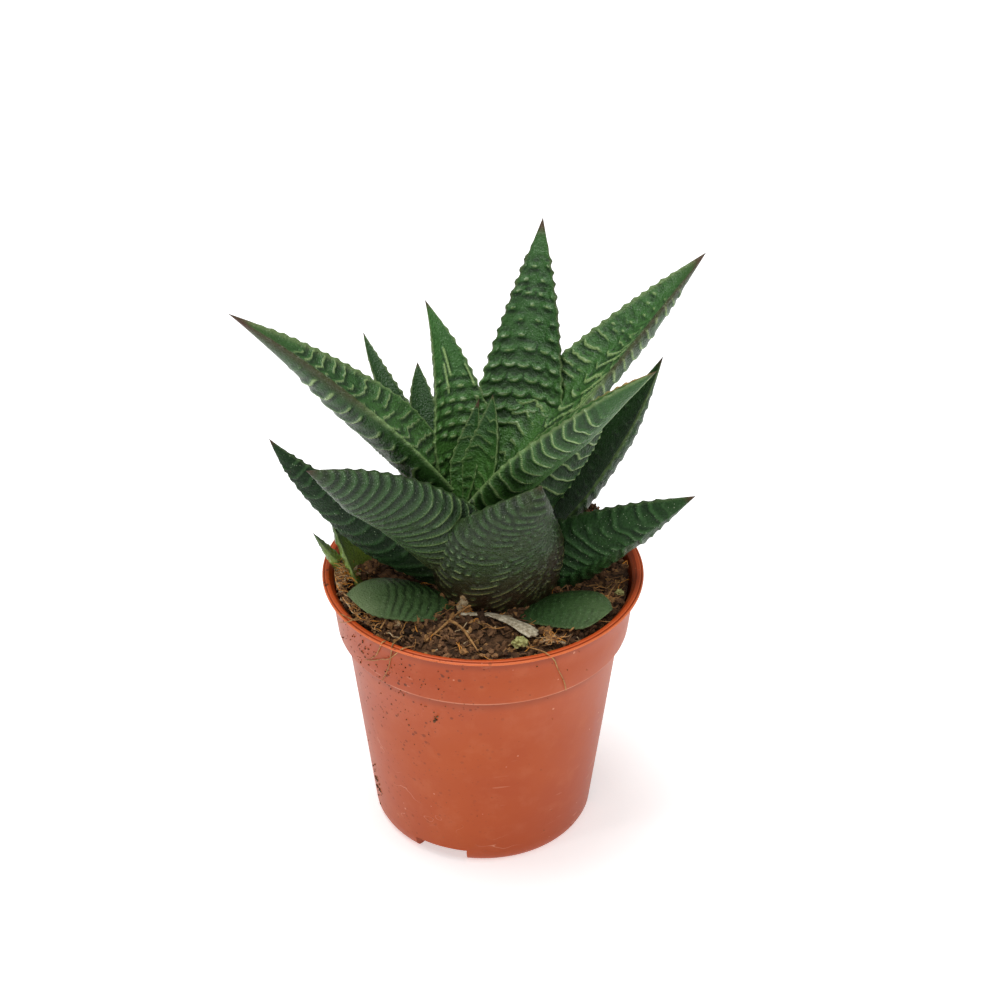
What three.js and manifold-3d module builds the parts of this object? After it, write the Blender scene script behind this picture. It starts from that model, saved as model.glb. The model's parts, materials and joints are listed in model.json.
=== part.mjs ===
// Potted haworthia: a rosette of ribbed leaves in a round plastic nursery pot.
// Millimetres, +Z up. The origin is on the pot's axis, in the plane the pot stands on.
// The photo is taken from the -Y side, a little above.
import * as THREE from "three";
import { mergeVertices } from "three/addons/utils/BufferGeometryUtils.js";
import Module from "manifold-3d";

const wasm = await Module();
wasm.setup();

const GAP = 0.3; // clearance left between neighbouring nodes
const DEG = Math.PI / 180;

// Pot: outer shape, wall and the raised drain pockets in its bottom edge.
const POT_HEIGHT = 77.2;
const RIM_RADIUS = 42.5;
const RIM_WIDTH = 2.0;
const LIP_HEIGHT = 1.0;
const BAND_HEIGHT = 16.0;
const BAND_TOP_RADIUS = 40.5;
const BAND_FOOT_RADIUS = 38.9;
const WALL_TOP_RADIUS = 36.8;
const BASE_RADIUS = 29.7;
const BASE_FILLET = 2.5;
const WALL = 1.1;
const FLOOR = 1.4;
const POCKETS = 3;
const POCKET_FIRST_ANGLE = 247; // degrees from +X: front left, as in the photo
const POCKET_ANGLE = 29;
const POCKET_HEIGHT = 4.2;
const POCKET_INNER_RADIUS = 21.5;
const DRAIN_RADIUS = 2.4;
const DRAIN_AT_RADIUS = 25.4;
const TURNED_SEGMENTS = 40;

// Soil: level at the wall, mound at the plant, and how rough the surface is.
const SOIL_LEVEL = 74.6;
const SOIL_MOUND = 2.0;
const SOIL_ROUGHNESS = 0.55;
const SOIL_RINGS = 7;
const SOIL_SECTORS = 32;

// Stem: the short core that the leaves grow from.
const STEM_X = -1.5;
const STEM_Y = 2.0;
const STEM_BOTTOM = 60;
const STEM_TOP = 98;
const STEM_RADIUS = 6.0;

// Leaf relief: ridges across the leaf, teeth on the margins, bumps on the inner face.
const RIDGE_PITCH = 4.4;
const RIDGE_HEIGHT = 0.6;
const TOOTH_HEIGHT = 0.35;
const BUMP_HEIGHT = 0.35;

// Each leaf runs along a curve through base, mid and tip. Width and depth are the largest
// ones, cup is the half angle of the channel and roll turns the leaf about its own curve,
// both at base and tip. A leaf gives way to those before it in the list.
const LEAVES = [
  {
    name: "leaf_front",
    base: [1.5, -8, 67.5],
    mid: [6.6, -20, 94.5],
    tip: [14.5, -20, 115.5],
    width: 39.5,
    depth: 6,
    cup: [60, 50],
    keel: 0.2,
    roll: [-38, -25],
    taper: 2.2,
    columns: 6,
  },
  {
    name: "leaf_heart",
    base: [-2, -1, 101],
    mid: [1, 1, 114.5],
    tip: [2.5, 5, 127],
    width: 11,
    depth: 3,
    cup: [45, 30],
    heel: 0.3,
  },
  {
    name: "leaf_right_front",
    base: [-0.5, -2, 98],
    mid: [22, -8, 124.5],
    tip: [42.5, -12, 143.5],
    width: 20,
    depth: 6,
    cup: [45, 45],
    keel: 0.6,
    roll: [-14, -16],
    heel: 0.08,
  },
  {
    name: "leaf_front_left",
    base: [-2, -8, 81],
    mid: [-21, -16, 105.5],
    tip: [-43.5, -22, 121],
    width: 29,
    depth: 7,
    cup: [60, 50],
    keel: 0.3,
    roll: [42, 40],
    taper: 1.8,
    columns: 6,
  },
  {
    name: "leaf_centre_back",
    base: [-5.5, 4, 98.5],
    mid: [-7, 14, 121.5],
    tip: [-15, 26, 143],
    width: 17,
    depth: 5,
    cup: [40, 30],
  },
  {
    name: "leaf_left_long",
    base: [-9.3, 2, 102.1],
    mid: [-34.3, 6, 127.1],
    tip: [-64, 10, 147.5],
    width: 23,
    depth: 7,
    cup: [45, 40],
    keel: 0.6,
    roll: [9, 9],
  },
  {
    name: "leaf_right_tall",
    base: [2, 2, 100],
    mid: [32, 14, 133],
    tip: [57, 28, 155.5],
    width: 24.5,
    depth: 6,
    cup: [50, 35],
    keel: 0.6,
    roll: [2, -6],
    heel: 0.08,
  },
  {
    name: "leaf_back_tall",
    base: [7.5, 6, 100.5],
    mid: [11.9, 22, 132],
    tip: [15.5, 40, 159.5],
    width: 24,
    depth: 5,
    cup: [45, 25],
    taper: 1.15,
    heel: 0.15,
  },
  {
    name: "leaf_heart_slim",
    base: [-5.5, 1, 100],
    mid: [-3.5, 5, 112],
    tip: [-1, 9, 123.5],
    width: 8,
    depth: 3,
    cup: [45, 30],
    heel: 0.3,
  },
  {
    name: "leaf_right_low",
    base: [8.5, -2, 71.5],
    mid: [32, -6, 90.5],
    tip: [54, -10, 106],
    width: 24,
    depth: 6,
    cup: [40, 30],
    roll: [-75, -60],
    taper: 1.4,
  },
  {
    name: "leaf_right_slim",
    base: [6, 2, 89.5],
    mid: [22, 4, 108],
    tip: [33, 6, 124],
    width: 14,
    depth: 7,
    cup: [40, 30],
    keel: 0.6,
    roll: [-30, -30],
    heel: 0.1,
  },
  {
    name: "leaf_right_back",
    base: [12.5, 6, 82],
    mid: [32, 14, 104.5],
    tip: [47, 24, 127.5],
    width: 20,
    depth: 5,
    cup: [40, 30],
    roll: [-5, -5],
    heel: 0.15,
  },
  {
    name: "leaf_left_low",
    base: [-7.5, -4, 78.5],
    mid: [-37.5, -2, 99.5],
    tip: [-54.5, 0, 117],
    width: 20,
    depth: 8,
    cup: [45, 40],
    keel: 0.6,
    roll: [45, 45],
  },
  {
    name: "leaf_back_left",
    base: [-11.5, 10, 96.5],
    mid: [-24.5, 26, 114.5],
    tip: [-32, 40, 126],
    width: 8,
    depth: 4,
    cup: [40, 30],
    heel: 0.15,
  },
  {
    name: "leaf_back_blunt",
    base: [-11.5, 12, 95.5],
    mid: [-15.5, 24, 108],
    tip: [-17.5, 36, 119],
    width: 8.5,
    depth: 4,
    cup: [40, 30],
    taper: 2.2,
    heel: 0.25,
  },
  {
    name: "leaf_soil_left",
    base: [-5, -15.5, 74.6],
    mid: [-21, -15.7, 80],
    tip: [-35.2, -16.6, 80.2],
    width: 17,
    depth: 4,
    cup: [-30, -30],
    keel: 0.3,
    roll: [-5, -5],
    taper: 3,
    foot: 0.45,
    peak: 0.5,
  },
  {
    name: "leaf_soil_right",
    base: [6.5, -17.5, 74.6],
    mid: [20, -18, 78.6],
    tip: [33.2, -21.6, 79],
    width: 17,
    depth: 4,
    cup: [-30, -30],
    keel: 0.3,
    taper: 3,
    foot: 0.35,
    peak: 0.6,
  },
  {
    name: "pup_leaf_inner",
    base: [-30, -2, 71],
    mid: [-35, 0, 82.5],
    tip: [-40.2, 2, 92.4],
    width: 11,
    depth: 2.5,
    cup: [30, 30],
  },
  {
    name: "pup_leaf_outer",
    base: [-33, 2, 70],
    mid: [-39.5, 0.5, 80.5],
    tip: [-44.6, 0, 88.2],
    width: 6,
    depth: 2,
    cup: [30, 30],
  },
];

// Loose pieces on the soil.
const STALK_PATH = [
  [-5.7, -21.4, 76.6],
  [1.7, -21.7, 76.6],
  [6.6, -24, 76.3],
  [13.6, -29.6, 75.8],
];
const STALK_WIDTH = 3.2;
const STALK_THICKNESS = 1.0;
const ROOT_PATH = [
  [-7.6, -20.6, 76.5],
  [-8.6, -23.4, 76.2],
  [-11, -27, 75.9],
  [-14.4, -31.2, 75.5],
];
const ROOT_THICKNESS = 0.9;
const PRILLS = [
  { name: "prill_front", at: [9.3, -32.4, 76.2], size: 1.9 },
  { name: "prill_right", at: [35.6, -9.2, 75.2], size: 1.2 },
];

const vec = (p) => new THREE.Vector3(p[0], p[1], p[2]);
const clamp01 = (x) => Math.min(1, Math.max(0, x));
const mix = (pair, t) => pair[0] + (pair[1] - pair[0]) * t;

// A closed solid from points and triangles, turned face out whichever way they were listed.
function solidOf(points, triangles) {
  const vertProperties = new Float32Array(points.flatMap((p) => [p.x, p.y, p.z]));
  const build = (list) =>
    new wasm.Manifold(
      new wasm.Mesh({ numProp: 3, vertProperties, triVerts: new Uint32Array(list.flat()) }),
    );
  const solid = build(triangles);
  return solid.volume() > 0 ? solid : build(triangles.map(([a, b, c]) => [a, c, b]));
}

function solidOfGeometry(source) {
  const bare = new THREE.BufferGeometry();
  bare.setAttribute("position", source.getAttribute("position"));
  if (source.index) bare.setIndex(source.index);
  const merged = mergeVertices(bare, 1e-4);
  const position = merged.getAttribute("position");
  const points = [];
  for (let i = 0; i < position.count; i++) {
    points.push(new THREE.Vector3().fromBufferAttribute(position, i));
  }
  const triangles = [];
  for (let i = 0; i < merged.index.count; i += 3) {
    const corners = [0, 1, 2].map((j) => merged.index.getX(i + j));
    if (new Set(corners).size === 3) triangles.push(corners);
  }
  return solidOf(points, triangles);
}

function turned(profile) {
  const points = profile.map(([r, z]) => new THREE.Vector2(r, z));
  const geometry = new THREE.LatheGeometry(points, TURNED_SEGMENTS);
  return solidOfGeometry(geometry.rotateX(Math.PI / 2));
}

// The side walls between rings of equal length, listed from one end to the other.
function wallTriangles(count, ringLength) {
  const triangles = [];
  for (let i = 0; i + 1 < count; i++) {
    for (let j = 0; j < ringLength; j++) {
      const a = i * ringLength + j;
      const b = i * ringLength + ((j + 1) % ringLength);
      triangles.push([a, b, b + ringLength], [a, b + ringLength, a + ringLength]);
    }
  }
  return triangles;
}

// Rings closed at both ends by a fan about a point.
function ringBody(rings, start, end) {
  const size = rings[0].length;
  const points = [...rings.flat(), start, end];
  const triangles = wallTriangles(rings.length, size);
  const last = (rings.length - 1) * size;
  for (let j = 0; j < size; j++) {
    const next = (j + 1) % size;
    triangles.push([points.length - 2, next, j], [points.length - 1, last + j, last + next]);
  }
  return solidOf(points, triangles);
}

// Point and direction of a leaf's curve, and its side and inner-face directions.
function leafFrame(leaf, t) {
  const [base, mid, tip] = [vec(leaf.base), vec(leaf.mid), vec(leaf.tip)];
  const knee = mid.multiplyScalar(2).addScaledVector(base, -0.5).addScaledVector(tip, -0.5);
  const point = base.clone().multiplyScalar((1 - t) ** 2);
  point.addScaledVector(knee, 2 * t * (1 - t)).addScaledVector(tip, t * t);
  const along = knee.clone().sub(base).multiplyScalar(1 - t);
  along.addScaledVector(tip.clone().sub(knee), t).normalize();
  const outward = tip.clone().sub(base).setZ(0).normalize();
  const face = new THREE.Vector3(0, 0, 1).addScaledVector(outward, -0.7);
  face.addScaledVector(along, -face.dot(along)).normalize();
  const side = along.clone().cross(face);
  const roll = mix(leaf.roll ?? [0, 0], t) * DEG;
  const inner = face.multiplyScalar(Math.cos(roll)).addScaledVector(side, Math.sin(roll));
  return { point, along, inner, side: along.clone().cross(inner) };
}

function leafHalfWidth(leaf, t) {
  const { width, peak = 0.28, foot = 0.7, taper = 1.25 } = leaf;
  if (t < 0) return (width / 2) * foot * (1 + 2 * t);
  const rise = foot + (1 - foot) * Math.sin((Math.PI / 2) * clamp01(t / peak));
  return (width / 2) * (t < peak ? rise : 1 - clamp01((t - peak) / (1 - peak)) ** taper);
}

// A point of the leaf's skin at side position v (-1 to 1), moved outwards by push.
function leafPoint(leaf, t, v, face, push) {
  const { point, inner, side } = leafFrame(leaf, t);
  const half = leafHalfWidth(leaf, t);
  const angle = mix(leaf.cup, clamp01(t)) * DEG;
  const radius = half / angle;
  const turn = angle * v;
  point.addScaledVector(side, radius * Math.sin(turn));
  point.addScaledVector(inner, radius * (1 - Math.cos(turn)));
  if (face === "margin") {
    point.addScaledVector(side, push * Math.sign(v) * Math.cos(turn));
    return point.addScaledVector(inner, push * Math.sign(v) * Math.sin(turn));
  }
  const normal = inner.clone().multiplyScalar(Math.cos(turn));
  normal.addScaledVector(side, -Math.sin(turn));
  if (face === "inner") return point.addScaledVector(normal, Math.min(push, 0.8 * Math.abs(radius)));
  const { keel = 0.5 } = leaf;
  const depth = Math.min(leaf.depth * (1 - 0.15 * clamp01(t)), half * 0.75);
  const profile = (1 - keel) * Math.sqrt(1 - v * v) + keel * (1 - Math.abs(v));
  return point.addScaledVector(normal, -depth * profile - push);
}

function leafLength(leaf) {
  return vec(leaf.base).distanceTo(vec(leaf.mid)) + vec(leaf.mid).distanceTo(vec(leaf.tip));
}

// One leaf as a closed body. Every second row stands out as a ridge on the outer face, a
// tooth on each margin and bumps on the inner face; rows bow towards the base on the outside.
function leafBody(leaf, grown) {
  const columns = leaf.columns ?? 4;
  const length = leafLength(leaf);
  const start = -(leaf.heel ?? 0) - (grown ? GAP / length : 0);
  const end = grown ? 1 : 0.965;
  const rowPitch = RIDGE_PITCH / 2;
  const rows = Math.max(6, Math.round(((end - start) * length) / rowPitch));
  const rings = [];
  for (let i = 0; i <= rows; i++) {
    const t = start + ((end - start) * i) / rows;
    const fade = Math.sin(Math.PI * clamp01((t - start) / (1 - start))) ** 0.4;
    const raised = grown || i % 2 === 1 ? fade : 0;
    const bow = (2.6 / length) * Math.sin((Math.PI * i) / rows);
    const spare = grown ? GAP : 0;
    const upper = [];
    const lower = [];
    for (let c = 0; c <= columns; c++) {
      const v = -1 + (2 * c) / columns;
      if (c === 0 || c === columns) {
        upper.push(leafPoint(leaf, t, v, "margin", 2 * spare + TOOTH_HEIGHT * raised));
        continue;
      }
      const bump = grown || c % 2 === 1 ? BUMP_HEIGHT * raised : 0;
      upper.push(leafPoint(leaf, t, v, "inner", spare + bump));
      const back = t - bow * (1 - v * v);
      lower.unshift(leafPoint(leaf, back, v, "outer", spare + RIDGE_HEIGHT * raised));
    }
    rings.push([...upper, ...lower]);
  }
  return leafSkin(rings, columns, leafFrame(leaf, grown ? 1 + 1.2 / length : 1).point);
}

// The base end is closed by a strip from the inner to the outer face, the tip by a point.
function leafSkin(rings, columns, tip) {
  const size = rings[0].length;
  const points = [...rings.flat(), tip];
  const triangles = wallTriangles(rings.length, size);
  const last = (rings.length - 1) * size;
  for (let j = 0; j < size; j++) {
    triangles.push([points.length - 1, last + j, last + ((j + 1) % size)]);
  }
  const under = (c) => (c === 0 || c === columns ? c : size - c);
  for (let c = 0; c < columns; c++) {
    if (c > 0) triangles.push([c, under(c), c + 1]);
    if (c === 0) triangles.push([0, under(1), 1]);
    if (c > 0 && c + 1 < columns) triangles.push([c + 1, under(c), under(c + 1)]);
  }
  return solidOf(points, triangles);
}

// A rod or strap along a smooth path, lying flat.
function strand(path, width, thickness, sides, steps) {
  const curve = new THREE.CatmullRomCurve3(path.map(vec));
  const rings = [];
  for (let i = 0; i <= steps; i++) {
    const point = curve.getPointAt(i / steps);
    const along = curve.getTangentAt(i / steps);
    const across = along.clone().cross(new THREE.Vector3(0, 0, 1)).normalize();
    const up = across.clone().cross(along);
    const ring = [];
    for (let j = 0; j < sides; j++) {
      const a = (2 * Math.PI * j) / sides;
      const p = point.clone().addScaledVector(across, (width / 2) * Math.cos(a));
      ring.push(p.addScaledVector(up, (thickness / 2) * Math.sin(a)));
    }
    rings.push(ring);
  }
  return ringBody(rings, curve.getPointAt(0), curve.getPointAt(1));
}

// A repeatable number between -1 and 1 for a pair of indices.
function scatter(i, j) {
  const s = Math.sin(i * 12.9898 + j * 78.233) * 43758.5453;
  return 2 * (s - Math.floor(s)) - 1;
}

function wallRadius(z) {
  const slope = (WALL_TOP_RADIUS - BASE_RADIUS) / (POT_HEIGHT - BAND_HEIGHT);
  return BASE_RADIUS + slope * z;
}

function potSolid() {
  const bandFoot = POT_HEIGHT - BAND_HEIGHT;
  const lipFoot = POT_HEIGHT - LIP_HEIGHT;
  const fillet = [15, 45, 75].map((a) => [
    BASE_RADIUS - BASE_FILLET + BASE_FILLET * Math.sin(a * DEG),
    BASE_FILLET * (1 - Math.cos(a * DEG)),
  ]);
  const shell = turned([
    [0, 0],
    [BASE_RADIUS - BASE_FILLET, 0],
    ...fillet,
    [wallRadius(BASE_FILLET), BASE_FILLET],
    [WALL_TOP_RADIUS, bandFoot],
    [BAND_FOOT_RADIUS - 0.4, bandFoot],
    [BAND_FOOT_RADIUS, bandFoot + 0.4],
    [BAND_TOP_RADIUS, lipFoot],
    [RIM_RADIUS, lipFoot + 0.3],
    [RIM_RADIUS, POT_HEIGHT - 0.5],
    [RIM_RADIUS - 0.5, POT_HEIGHT],
    [RIM_RADIUS - RIM_WIDTH + 0.4, POT_HEIGHT],
    [RIM_RADIUS - RIM_WIDTH, POT_HEIGHT - 0.4],
    [BAND_TOP_RADIUS - WALL, lipFoot - 0.6],
    [BAND_FOOT_RADIUS - WALL, bandFoot + WALL],
    [WALL_TOP_RADIUS - WALL, bandFoot - WALL],
    [wallRadius(FLOOR) - WALL, FLOOR + 1],
    [wallRadius(FLOOR) - WALL - 1, FLOOR],
    [0, FLOOR],
  ]);
  const body = turned([
    [0, 0],
    [BASE_RADIUS - BASE_FILLET, 0],
    ...fillet,
    [wallRadius(BASE_FILLET), BASE_FILLET],
    [wallRadius(8), 8],
    [0, 8],
  ]);
  let pot = shell;
  for (let i = 0; i < POCKETS; i++) {
    const angle = POCKET_FIRST_ANGLE + (360 / POCKETS) * i;
    const roof = POCKET_HEIGHT + FLOOR;
    const block = sector(POCKET_INNER_RADIUS - WALL, 40, angle, POCKET_ANGLE + 5, 0, roof);
    pot = pot.add(block.intersect(body));
    pot = pot.subtract(sector(POCKET_INNER_RADIUS, 45, angle, POCKET_ANGLE, -1, POCKET_HEIGHT));
    const drain = new THREE.CylinderGeometry(DRAIN_RADIUS, DRAIN_RADIUS, 6, 16);
    drain.rotateX(Math.PI / 2);
    const x = DRAIN_AT_RADIUS * Math.cos(angle * DEG);
    const y = DRAIN_AT_RADIUS * Math.sin(angle * DEG);
    pot = pot.subtract(solidOfGeometry(drain.translate(x, y, roof)));
  }
  return pot;
}

// Part of a ring: radii, middle angle and opening in degrees, bottom and top height.
function sector(inner, outer, middle, opening, bottom, top) {
  const from = (middle - opening / 2) * DEG;
  const to = (middle + opening / 2) * DEG;
  const shape = new THREE.Shape();
  shape.absarc(0, 0, outer, from, to, false);
  shape.absarc(0, 0, inner, to, from, true);
  const settings = { depth: top - bottom, bevelEnabled: false, curveSegments: 7 };
  return solidOfGeometry(new THREE.ExtrudeGeometry(shape, settings).translate(0, 0, bottom));
}

function soilHeight(radius, angle, i, j) {
  const mound = SOIL_MOUND * (1 - clamp01(radius / 38) ** 2);
  const roll = 0.6 * Math.sin(3 * angle + 1) + 0.4 * Math.sin(5 * angle + radius / 6);
  const rough = SOIL_ROUGHNESS * scatter(i, j);
  return SOIL_LEVEL + mound + (roll * radius) / 60 + rough;
}

function soilSolid() {
  const bandFoot = POT_HEIGHT - BAND_HEIGHT;
  const topRadius = BAND_TOP_RADIUS - WALL - GAP - 0.6;
  const bottom = FLOOR + GAP;
  const ring = (radius, height) => {
    const points = [];
    for (let j = 0; j < SOIL_SECTORS; j++) {
      const a = (2 * Math.PI * j) / SOIL_SECTORS;
      points.push(new THREE.Vector3(radius * Math.cos(a), radius * Math.sin(a), height(a, j)));
    }
    return points;
  };
  const rings = [];
  for (let i = 1; i <= SOIL_RINGS; i++) {
    const radius = (topRadius * i) / SOIL_RINGS;
    rings.push(ring(radius, (a, j) => soilHeight(radius, a, i, j)));
  }
  const side = [
    [BAND_FOOT_RADIUS - WALL - GAP - 0.1, bandFoot + WALL + 0.6],
    [WALL_TOP_RADIUS - WALL - GAP - 0.1, bandFoot - WALL],
    [wallRadius(bottom) - WALL - GAP - 0.6, bottom + 1.2],
    [wallRadius(bottom) - WALL - GAP - 1.7, bottom],
  ];
  side.forEach(([radius, z]) => rings.push(ring(radius, () => z)));
  const top = new THREE.Vector3(0, 0, SOIL_LEVEL + SOIL_MOUND);
  let soil = ringBody(rings, top, new THREE.Vector3(0, 0, bottom));
  for (let i = 0; i < POCKETS; i++) {
    const angle = POCKET_FIRST_ANGLE + (360 / POCKETS) * i;
    const inner = POCKET_INNER_RADIUS - WALL - GAP;
    const roof = POCKET_HEIGHT + FLOOR + GAP;
    soil = soil.subtract(sector(inner, 45, angle, POCKET_ANGLE + 7, 0, roof));
  }
  return soil;
}

function stemSolid(spare) {
  const r = STEM_RADIUS + spare;
  const top = STEM_TOP + spare;
  const bottom = STEM_BOTTOM - spare;
  const profile = [
    [0, bottom],
    [r * 0.6, bottom],
    [r, bottom + 4],
    [r, top - 10],
    [r * 0.85, top - 4],
    [r * 0.45, top - 0.8],
    [0, top],
  ];
  const points = profile.map(([radius, z]) => new THREE.Vector2(radius, z));
  const geometry = new THREE.LatheGeometry(points, 20).rotateX(Math.PI / 2);
  return solidOfGeometry(geometry.translate(STEM_X, STEM_Y, 0));
}

function prillSolid({ at, size }, spare) {
  const geometry = new THREE.IcosahedronGeometry(size + spare, 0);
  return solidOfGeometry(geometry.rotateX(size).rotateY(at[0]).translate(at[0], at[1], at[2]));
}

// The biggest piece of a solid that a cut may have split.
function mainPiece(solid) {
  return solid.decompose().reduce((a, b) => (b.volume() > a.volume() ? b : a));
}

const LEAF_GREEN = 0x33593a;
const SHADED_GREEN = 0x28472f;
const PUP_GREEN = 0x5f8a3c;
const materials = {
  pot: { color: 0xb65836, roughness: 0.5, metalness: 0 },
  soil: { color: 0x37291f, roughness: 1, metalness: 0 },
  stem: { color: 0x6b7a45, roughness: 0.8, metalness: 0 },
  leaf: { color: LEAF_GREEN, roughness: 0.5, metalness: 0 },
  shaded: { color: SHADED_GREEN, roughness: 0.5, metalness: 0 },
  pup: { color: PUP_GREEN, roughness: 0.5, metalness: 0 },
  dry: { color: 0xb0a48c, roughness: 0.9, metalness: 0 },
  root: { color: 0x9c7a4e, roughness: 0.9, metalness: 0 },
  prill: { color: 0xb6b878, roughness: 0.7, metalness: 0 },
};

function materialName(leaf) {
  if (leaf.name.startsWith("pup")) return "pup";
  return /low|soil|right_back/.test(leaf.name) ? "shaded" : "leaf";
}

const group = new THREE.Group();
group.name = "potted_haworthia";

function addNode(name, solid, material) {
  const mesh = solid.getMesh();
  const geometry = new THREE.BufferGeometry();
  geometry.setAttribute("position", new THREE.BufferAttribute(mesh.vertProperties, 3));
  geometry.setIndex(new THREE.BufferAttribute(mesh.triVerts, 1));
  geometry.computeVertexNormals();
  const node = new THREE.Mesh(geometry, new THREE.MeshStandardMaterial(materials[material]));
  node.name = name;
  group.add(node);
}

const taken = [stemSolid(GAP)];
addNode("stem", stemSolid(0), "stem");

for (const leaf of LEAVES) {
  const cut = taken.reduce((body, other) => body.subtract(other), leafBody(leaf, false));
  addNode(leaf.name, mainPiece(cut), materialName(leaf));
  taken.push(leafBody(leaf, true));
}

const stalk = strand(STALK_PATH, STALK_WIDTH, STALK_THICKNESS, 8, 10);
addNode("dried_stalk", stalk, "dry");
taken.push(strand(STALK_PATH, STALK_WIDTH + 2 * GAP, STALK_THICKNESS + 2 * GAP, 8, 10));

const root = strand(ROOT_PATH, ROOT_THICKNESS, ROOT_THICKNESS, 6, 10);
addNode("root_front", root, "root");
taken.push(strand(ROOT_PATH, ROOT_THICKNESS + 2 * GAP, ROOT_THICKNESS + 2 * GAP, 6, 10));

for (const prill of PRILLS) {
  addNode(prill.name, prillSolid(prill, 0), "prill");
  taken.push(prillSolid(prill, GAP));
}

const soil = taken.reduce((body, other) => body.subtract(other), soilSolid());
addNode("soil", mainPiece(soil), "soil");
addNode("pot", potSolid(), "pot");

export default group;
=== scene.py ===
"""Potted haworthia: the visual model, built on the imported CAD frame.

Run as a script in Blender 4.5. Lengths in the tables are millimetres and are
turned into metres where a mesh is written. +Z is up and -Y faces the viewer.
"""

import json
import math

import bpy
import numpy as np
from mathutils import Matrix, Vector


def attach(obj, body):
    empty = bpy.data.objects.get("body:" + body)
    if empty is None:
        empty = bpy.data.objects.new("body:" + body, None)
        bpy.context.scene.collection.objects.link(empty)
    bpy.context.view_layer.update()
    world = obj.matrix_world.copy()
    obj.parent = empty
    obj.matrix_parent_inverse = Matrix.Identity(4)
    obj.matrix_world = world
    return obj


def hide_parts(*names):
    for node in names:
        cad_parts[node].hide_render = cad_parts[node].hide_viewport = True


bl_info = {
    "name": "Potted haworthia",
    "version": (1, 0, 0),
    "blender": (4, 5, 0),
    "location": "View3D > Sidebar > Haworthia",
    "description": "Builds a ribbed haworthia in a small plastic nursery pot",
    "category": "Add Mesh",
}

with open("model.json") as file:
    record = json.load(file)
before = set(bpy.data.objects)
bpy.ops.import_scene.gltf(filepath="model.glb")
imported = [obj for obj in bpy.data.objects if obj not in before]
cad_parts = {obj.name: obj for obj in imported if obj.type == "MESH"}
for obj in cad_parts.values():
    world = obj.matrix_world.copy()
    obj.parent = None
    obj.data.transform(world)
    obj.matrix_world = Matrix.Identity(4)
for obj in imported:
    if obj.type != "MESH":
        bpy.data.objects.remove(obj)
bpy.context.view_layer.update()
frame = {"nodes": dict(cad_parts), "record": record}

MM = 0.001
SEED = 20


# Sizes and places

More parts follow.
